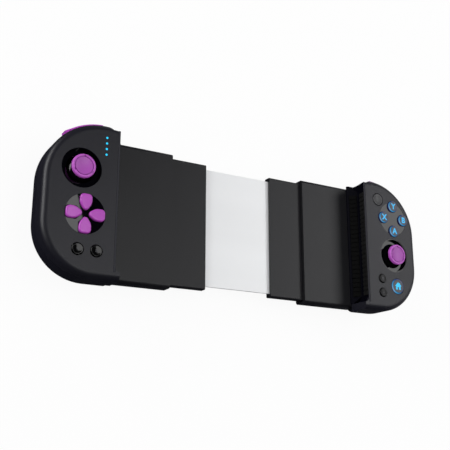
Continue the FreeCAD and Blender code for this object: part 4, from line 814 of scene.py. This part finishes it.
@dataclass
class RoundButton:
    """One round button, with the stem and flange that hold it under the face."""

    node: str
    middle: Pair
    radius: float
    top: float
    flange_reach: float = 0.85
    flange_low: float = 28.1
    flange_top: float = 29.1
    stem: float = 1.8
    foot: float = 20.2
    hollow_rounding: float = 0.12
    hollow_steps: int = 8
    chamfer_rounding: float = 0.2
    inner_rounding: float = 0.08
    seat_taper: float = 0.02
    cap_lift: float = 0.01
    cap_room: float = 0.05

    def below(self) -> list[Pair]:
        """Draw the profile of the stem and the flange, up to the button's wall.

        Returns:
            Radius and height of each point.
        """
        flange = self.radius + self.flange_reach
        return [(0.0, self.foot), (self.stem, self.foot), (self.stem, self.flange_low),
                (flange, self.flange_low), (flange, self.flange_top),
                (self.radius, self.flange_top)]

    def dished(self, dip: float, edge: float, rounding: float, finish: Finish) -> None:
        """Build a button with a shallow hollow.

        Args:
            dip: depth of the hollow.
            edge: width of the edge round it.
            rounding: how far the edge is rounded outwards.
            finish: its material.
        """
        path = self.below() + [(self.radius, self.top)] + arc(
            self.radius - edge, self.top, -dip, self.hollow_steps)
        rounds = {6: rounding, 7: self.hollow_rounding}
        add_piece(self.node + "_dished", turned(path, self.middle, rounds), finish,
                  self.node, [self.node])

    def lit(self, rim: float, chamfer: float, crown: float) -> None:
        """Build a lit rim, glowing with a painted highlight, with a smoked cap set into
        it.

        Args:
            rim: width of the lit rim.
            chamfer: height of its slope.
            crown: how far the cap's middle stands above its edge.
        """
        inner = self.radius - rim
        sunk = self.top - crown - chamfer
        path = self.below() + [
            (self.radius, self.top - chamfer), (inner, self.top - crown),
            (inner - self.seat_taper, sunk), (0.0, sunk)]
        glow = LitRim("lit_rim_" + self.node, self.middle, self.radius,
                      self.top - chamfer)
        rounds = {6: self.chamfer_rounding, 7: self.inner_rounding}
        add_piece(self.node + "_rim", turned(path, self.middle, rounds), glow,
                  self.node, [self.node])
        reach = inner - self.cap_room
        base = sunk + self.cap_lift
        cap = [(0.0, base), (reach, base)] + arc(reach, self.top - crown, crown)
        add_piece(self.node + "_cap", turned(cap, self.middle, {2: self.inner_rounding}),
                  LIT_CAP, self.node)


@dataclass
class FaceButtons:
    """Four lit buttons in a cross over a disc, each with its letter."""

    middle: Pair = (112.1, 17.8)
    spread: Pair = (8.45, 8.7)
    radius: float = 3.85
    top: float = 32.7
    rim: float = 0.6
    chamfer: float = 0.5
    crown: float = 0.05
    letter_size: float = 5.3

    def build(self) -> None:
        """Build the buttons, starting at the top and going round clockwise."""
        ways = (("1", "Y", 0, 1), ("2", "B", 1, 0), ("3", "A", 0, -1), ("4", "X", -1, 0))
        for digit, letter, along, across in ways:
            node = "face_button_" + digit
            middle = (self.middle[0] + along * self.spread[0],
                      self.middle[1] + across * self.spread[1])
            RoundButton(node, middle, self.radius, self.top).lit(
                self.rim, self.chamfer, self.crown)
            inlay = legend(node + "_legend", letter, self.letter_size, middle, self.top)
            add_piece(node + "_letter", inlay, LIT_LETTER, node)
            LOG.info("face button %s built", digit)
        dress("face_disc", GLOSS_BLACK)


@dataclass
class HomeButton:
    """Large lit button with the outline of a house."""

    middle: Pair = (112.9, -28.9)
    radius: float = 5.05
    top: float = 32.1
    rim: float = 0.7
    chamfer: float = 0.5
    crown: float = 0.05
    door_head: Pair = (0.6, -0.6)
    half_house: tuple[Pair, ...] = (
        (0.6, -2.3), (1.95, -2.3), (1.95, 0.1), (2.75, 0.1))
    chimney: tuple[Pair, ...] = (
        (1.6, 1.25), (1.6, 2.2), (1.0, 2.2), (1.0, 1.85))
    ridge: Pair = (0.0, 2.75)

    def build(self) -> None:
        """Build the button and inlay the house."""
        RoundButton("home_button", self.middle, self.radius, self.top).lit(
            self.rim, self.chamfer, self.crown)
        half = [self.door_head, *self.half_house]
        left = [(-x, y) for x, y in reversed(half)]
        outline = [(self.middle[0] + x, self.middle[1] + y)
                   for x, y in [*half, *self.chimney, self.ridge, *left]]
        house = prism(outline, self.top - INLAY_HALF, self.top + INLAY_HALF)
        add_piece("home_button_house", house, LIT_HOUSE, "home_button")
        LOG.info("home button built")


@dataclass
class SmallButtons:
    """Small glossy buttons of both grips and the plain grey one."""

    dip: float = 0.16
    edge: float = 0.7
    rounding: float = 0.55
    left_radius: float = 3.3
    left_top: float = 32.0
    right_radius: float = 2.9
    right_top: float = 32.15
    plain_middle: Pair = (99.7, 29.85)
    plain_radius: float = 3.95
    plain_top: float = 31.75
    plain_dip: float = 0.55
    plain_edge: float = 0.8
    plain_rounding: float = 0.4
    bar: Triple = (1.3, 0.24, 0.1)
    bar_step: float = 0.55
    ring_inner: float = 0.55
    ring_outer: float = 0.8
    ring_half_thick: float = 0.05
    ring_steps: int = 32

    def build(self) -> None:
        """Build the five small buttons, four of them with a printed mark."""
        for node, middle, mark in (
            ("left_outer_button", (-110.0, -30.9), self.bars(2)),
            ("left_inner_button", (-99.4, -30.9), self.bars(3)),
        ):
            self.marked(node, middle, self.left_radius, self.left_top, DARK_GLOSS, mark)
        for node, middle, mark in (
            ("right_upper_button", (100.15, -24.75), self.ring()),
            ("right_lower_button", (100.15, -34.1), self.bars(1)),
        ):
            self.marked(node, middle, self.right_radius, self.right_top, DARK_SATIN, mark)
        plain = RoundButton("plain_button", self.plain_middle, self.plain_radius,
                            self.plain_top)
        plain.dished(self.plain_dip, self.plain_edge, self.plain_rounding, GREY_ABS)
        LOG.info("small buttons built")

    def marked(self, node: str, middle: Pair, radius: float, top: float,
               finish: Finish, mark: Mesh) -> None:
        """Build one dished button with its printed mark.

        Args:
            node: the button's node.
            middle: X and Y of its axis.
            radius: its radius.
            top: height of its edge.
            finish: its material.
            mark: the mark round the origin.
        """
        RoundButton(node, middle, radius, top).dished(
            self.dip, self.edge, self.rounding, finish)
        bmesh.ops.translate(mark, vec=(*middle, top - self.dip), verts=mark.verts)
        add_piece(node + "_mark", mark, LEGEND_GREY, node)

    def bars(self, count: int) -> Mesh:
        """Make a mark of short bars, one above the other.

        Args:
            count: how many bars.

        Returns:
            The mark round the origin, in millimetres.
        """
        mesh = bmesh.new()
        for index in range(count):
            lift = (index - (count - 1) / 2) * self.bar_step
            made = bmesh.ops.create_cube(mesh, size=1.0)["verts"]
            bmesh.ops.scale(mesh, vec=self.bar, verts=made)
            bmesh.ops.translate(mesh, vec=(0.0, lift, 0.0), verts=made)
        return mesh

    def ring(self) -> Mesh:
        """Make a mark of one small ring.

        Returns:
            The mark round the origin, in millimetres.
        """
        low, high = -self.ring_half_thick, self.ring_half_thick
        path = [(self.ring_inner, low), (self.ring_outer, low), (self.ring_outer, high),
                (self.ring_inner, high), (self.ring_inner, low)]
        return turned(path, (0.0, 0.0), {}, self.ring_steps)


@dataclass
class ShoulderButtons:
    """Bumper and trigger of one grip."""

    side: Side

    def build(self) -> None:
        """Dress both shoulder buttons."""
        for name in ("_bumper", "_trigger"):
            dress(self.side.word + name, KEY_PURPLE)
        LOG.info("%s shoulder buttons dressed", self.side.word)


@dataclass
class CaseScrews:
    """Four cross-head screws that close one grip from behind."""

    side: Side
    places: tuple[Pair, ...] = (
        (124.8, 7.0), (123.449, -23.074), (94.3, 38.3), (95.3, -40.0))
    head_low: float = 8.45
    head_high: float = 9.45
    head_radius: float = 1.35
    shank_radius: float = 0.8
    shank_top: float = 25.2
    slot_half: float = 0.19
    slot_reach: float = 0.8
    slot_depth: float = 0.55
    turn_step: float = 0.35
    tip_share: float = 0.6
    head_segments: int = 36
    shank_segments: int = 16

    def build(self) -> None:
        """Build the screws as one piece in place of their node."""
        whole = bmesh.new()
        for number, (along, across) in enumerate(self.places):
            screw = self.screw()
            bmesh.ops.rotate(screw, cent=(0.0, 0.0, 0.0), verts=screw.verts,
                             matrix=Matrix.Rotation(self.turn_step * number, 3, "Z"))
            bmesh.ops.translate(screw, vec=(along * self.side.value, across, 0.0),
                                verts=screw.verts)
            data = bpy.data.meshes.new("screw")
            screw.to_mesh(data)
            screw.free()
            whole.from_mesh(data)
            bpy.data.meshes.remove(data)
        word = self.side.word
        add_piece(word + "_case_screws", whole, NICKEL, word + "_grip",
                  [word + "_screws"])
        LOG.info("%s screws built", word)

    def screw(self) -> Mesh:
        """Make one screw on the Z axis, its head down.

        Returns:
            The screw, in millimetres.
        """
        half, reach = self.slot_half, self.slot_reach
        quarter = [(half, half), (half, reach), (-half, reach)]
        mesh = bmesh.new()
        bmesh.ops.create_circle(mesh, cap_ends=False, radius=self.head_radius,
                                segments=self.head_segments)
        rim = list(mesh.edges)
        cross = []
        for step in range(4):
            turn = Matrix.Rotation(step * math.pi / 2, 2)
            cross += [mesh.verts.new((*(turn @ Vector(spot)), 0.0)) for spot in quarter]
        slots = [mesh.edges.new(pair) for pair in zip(cross, cross[1:] + cross[:1])]
        bmesh.ops.triangle_fill(mesh, use_beauty=True, edges=rim + slots)
        self.raise_loop(mesh, rim, self.head_high - self.head_low)
        self.raise_loop(mesh, slots, self.slot_depth)
        length = self.shank_top - self.head_high
        shank = bmesh.ops.create_cone(mesh, cap_ends=True, radius1=self.shank_radius,
                                      radius2=self.shank_radius * self.tip_share,
                                      depth=length,
                                      segments=self.shank_segments)["verts"]
        middle = self.head_high - self.head_low + length / 2
        bmesh.ops.translate(mesh, vec=(0.0, 0.0, middle), verts=shank)
        bmesh.ops.translate(mesh, vec=(0.0, 0.0, self.head_low), verts=mesh.verts)
        return mesh

    def raise_loop(self, mesh: Mesh, loop: list[Edge], rise: float) -> None:
        """Raise a wall on a closed loop and cap it.

        Args:
            mesh: the mesh of the loop.
            loop: its edges.
            rise: height of the wall.
        """
        made = bmesh.ops.extrude_edge_only(mesh, edges=loop)["geom"]
        verts = [item for item in made if isinstance(item, bmesh.types.BMVert)]
        bmesh.ops.translate(mesh, vec=(0.0, 0.0, rise), verts=verts)
        bmesh.ops.contextual_create(mesh, geom=[
            item for item in made if isinstance(item, Edge)
            and all(vert in verts for vert in item.verts)])


@dataclass
class Electronics:
    """What is inside the grips, and the charge lamps that shine through the face."""

    def build(self) -> None:
        """Dress the boards, the cell, the port and the light pipe."""
        dress("battery", CELL_FILM)
        dress("charging_port", NICKEL)
        dress("light_guide", LIT_PIPE)
        for side in Side:
            dress(side.word + "_board", BOARD_GREEN)
        LOG.info("electronics dressed")


@dataclass(frozen=True)
class Softbox:
    """A rectangular lamp: radiance 1 is a white face, and turn is in degrees."""

    name: str
    place: Triple
    aim: Triple
    size: Pair
    radiance: float
    turn: float = 0.0

    def hang(self) -> None:
        """Hang the lamp, facing its aim and turned in its own plane."""
        data = bpy.data.lights.new(self.name, "AREA")
        data.shape = "RECTANGLE"
        data.size, data.size_y = self.size
        data.energy = self.radiance * math.pi * self.size[0] * self.size[1]
        lamp = bpy.data.objects.new(self.name, data)
        bpy.context.scene.collection.objects.link(lamp)
        way = Vector(self.aim) - Vector(self.place)
        lamp.matrix_world = (Matrix.Translation(self.place)
                             @ way.to_track_quat("-Z", "Y").to_matrix().to_4x4()
                             @ Matrix.Rotation(math.radians(self.turn), 4, "Z"))
        lamp.visible_camera = False


@dataclass
class Studio:
    """Camera, floor, lamps and background."""

    camera_place: Triple = (-0.24097, -0.13115, 0.41859)
    camera_right: Triple = (0.8681, 0.0018, 0.4963)
    camera_up: Triple = (-0.1365, 0.9623, 0.2353)
    lens_mm: float = 62.33
    sensor_mm: float = 36.0
    clip: Pair = (0.01, 20.0)
    floor_half: float = 3.0
    floor_drop_mm: float = 0.2
    floor_colour: str = "#F4F4F4"
    floor_white: float = 0.93
    fill: float = 0.5
    room_colour: str = "#26262E"
    wall_colour: str = "#BCBCC0"
    wall_side: Triple = (0.89, 0.45, 0.0)
    wall_reach: Pair = (0.45, 0.8)
    wall_top: Pair = (0.05, 0.5)
    lamps: tuple[Softbox, ...] = (
        Softbox("softbox_top", (0.107, 0.018, 0.9), (0.107, 0.018, 0.0), (0.28, 0.5), 2.7,
                15.0),
        Softbox("softbox_right", (0.92, 0.25, 0.9), (0.92, 0.25, 0.0), (0.66, 0.9), 2.45),
        Softbox("softbox_left", (-1.05, 0.45, 0.34), (0.0, 0.0, 0.0), (1.1, 0.5), 5.2))

    def camera(self) -> None:
        """Stand the camera where the photograph was taken from."""
        data = bpy.data.cameras.new("camera")
        data.lens = self.lens_mm
        data.sensor_width = self.sensor_mm
        data.sensor_fit = "HORIZONTAL"
        data.clip_start, data.clip_end = self.clip
        camera = bpy.data.objects.new("camera", data)
        bpy.context.scene.collection.objects.link(camera)
        right = Vector(self.camera_right).normalized()
        back = right.cross(Vector(self.camera_up)).normalized()
        up = back.cross(right)
        turn = Matrix((right, up, back)).transposed().to_4x4()
        camera.matrix_world = Matrix.Translation(self.camera_place) @ turn
        bpy.context.scene.camera = camera

    def floor(self) -> None:
        """Lay the pale floor under the pad."""
        mesh = bmesh.new()
        bmesh.ops.create_grid(mesh, x_segments=1, y_segments=1, size=self.floor_half)
        data = bpy.data.meshes.new("floor")
        mesh.to_mesh(data)
        mesh.free()
        floor = bpy.data.objects.new("floor", data)
        floor.location.z = -self.floor_drop_mm * MM
        bpy.context.scene.collection.objects.link(floor)
        material = bpy.data.materials.new("studio_floor")
        material.use_nodes = True
        tree = material.node_tree
        tree.nodes.clear()
        rays = add_node(tree, "LightPath")
        matt = add_node(tree, "BsdfDiffuse", {"Color": linear(self.floor_colour)})
        white = add_node(tree, "Emission", {"Color": linear("#FFFFFF")})
        share = add_node(tree, "Math", {
            0: rays.outputs["Is Camera Ray"], 1: self.floor_white}, operation="MULTIPLY")
        mixed = add_node(tree, "MixShader", {
            0: share.outputs[0], 1: matt.outputs[0], 2: white.outputs[0]})
        add_node(tree, "OutputMaterial", {"Surface": mixed.outputs[0]})
        data.materials.append(material)
        floor.visible_glossy = False

    def background(self) -> None:
        """White for the camera, a dark room with one pale wall for reflections."""
        world = bpy.data.worlds.new("studio")
        bpy.context.scene.world = world
        world.use_nodes = True
        tree = world.node_tree
        tree.nodes.clear()
        rays = add_node(tree, "LightPath")
        way = add_node(tree, "TexCoord").outputs["Generated"]
        height = add_node(tree, "SeparateXYZ", {"Vector": way}).outputs["Z"]
        aside = add_node(tree, "VectorMath", {0: way, 1: self.wall_side},
                         operation="DOT_PRODUCT").outputs["Value"]
        near = add_node(tree, "MapRange", {
            "Value": aside, "From Min": self.wall_reach[0],
            "From Max": self.wall_reach[1]}, interpolation_type="SMOOTHSTEP")
        level = add_node(tree, "MapRange", {
            "Value": height, "From Min": self.wall_top[0], "From Max": self.wall_top[1],
            "To Min": 1.0, "To Max": 0.0})
        share = add_node(tree, "Math", {
            0: near.outputs["Result"], 1: level.outputs["Result"]}, operation="MULTIPLY")
        ramp = add_node(tree, "ValToRGB", {"Fac": share.outputs[0]})
        ramp.color_ramp.elements[0].color = linear(self.room_colour)
        ramp.color_ramp.elements[1].color = linear(self.wall_colour)
        seen = add_node(tree, "Math", {
            0: rays.outputs["Is Glossy Ray"], 1: rays.outputs["Is Transmission Ray"]},
            operation="MAXIMUM")
        fill = add_node(tree, "Background", {
            "Color": linear("#FFFFFF"), "Strength": self.fill})
        wall = add_node(tree, "Background", {"Color": ramp.outputs["Color"]})
        white = add_node(tree, "Background", {"Color": linear("#FFFFFF")})
        lit = add_node(tree, "MixShader", {
            0: seen.outputs[0], 1: fill.outputs[0], 2: wall.outputs[0]})
        shown = add_node(tree, "MixShader", {
            0: rays.outputs["Is Camera Ray"], 1: lit.outputs[0], 2: white.outputs[0]})
        add_node(tree, "OutputWorld", {"Surface": shown.outputs[0]})

    def build(self) -> None:
        """Set up the whole studio."""
        self.camera()
        self.floor()
        self.background()
        for lamp in self.lamps:
            lamp.hang()
        LOG.info("studio set up")


def main() -> None:
    """Build the studio and the pad, and report each piece."""
    logging.basicConfig(level=logging.INFO, format="%(message)s")
    bpy.context.scene.view_settings.view_transform = "Standard"
    Studio().build()
    Bridge().build()
    stick_middles = {Side.LEFT: (-109.9, 14.8), Side.RIGHT: (111.4, -7.9)}
    for side, middle in stick_middles.items():
        Grip(side).build()
        ThumbStick(side, middle).build()
        ShoulderButtons(side).build()
        CaseScrews(side).build()
    DirectionPad().build()
    FaceButtons().build()
    HomeButton().build()
    SmallButtons().build()
    Electronics().build()


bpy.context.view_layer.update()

if __name__ == "__main__":
    main()
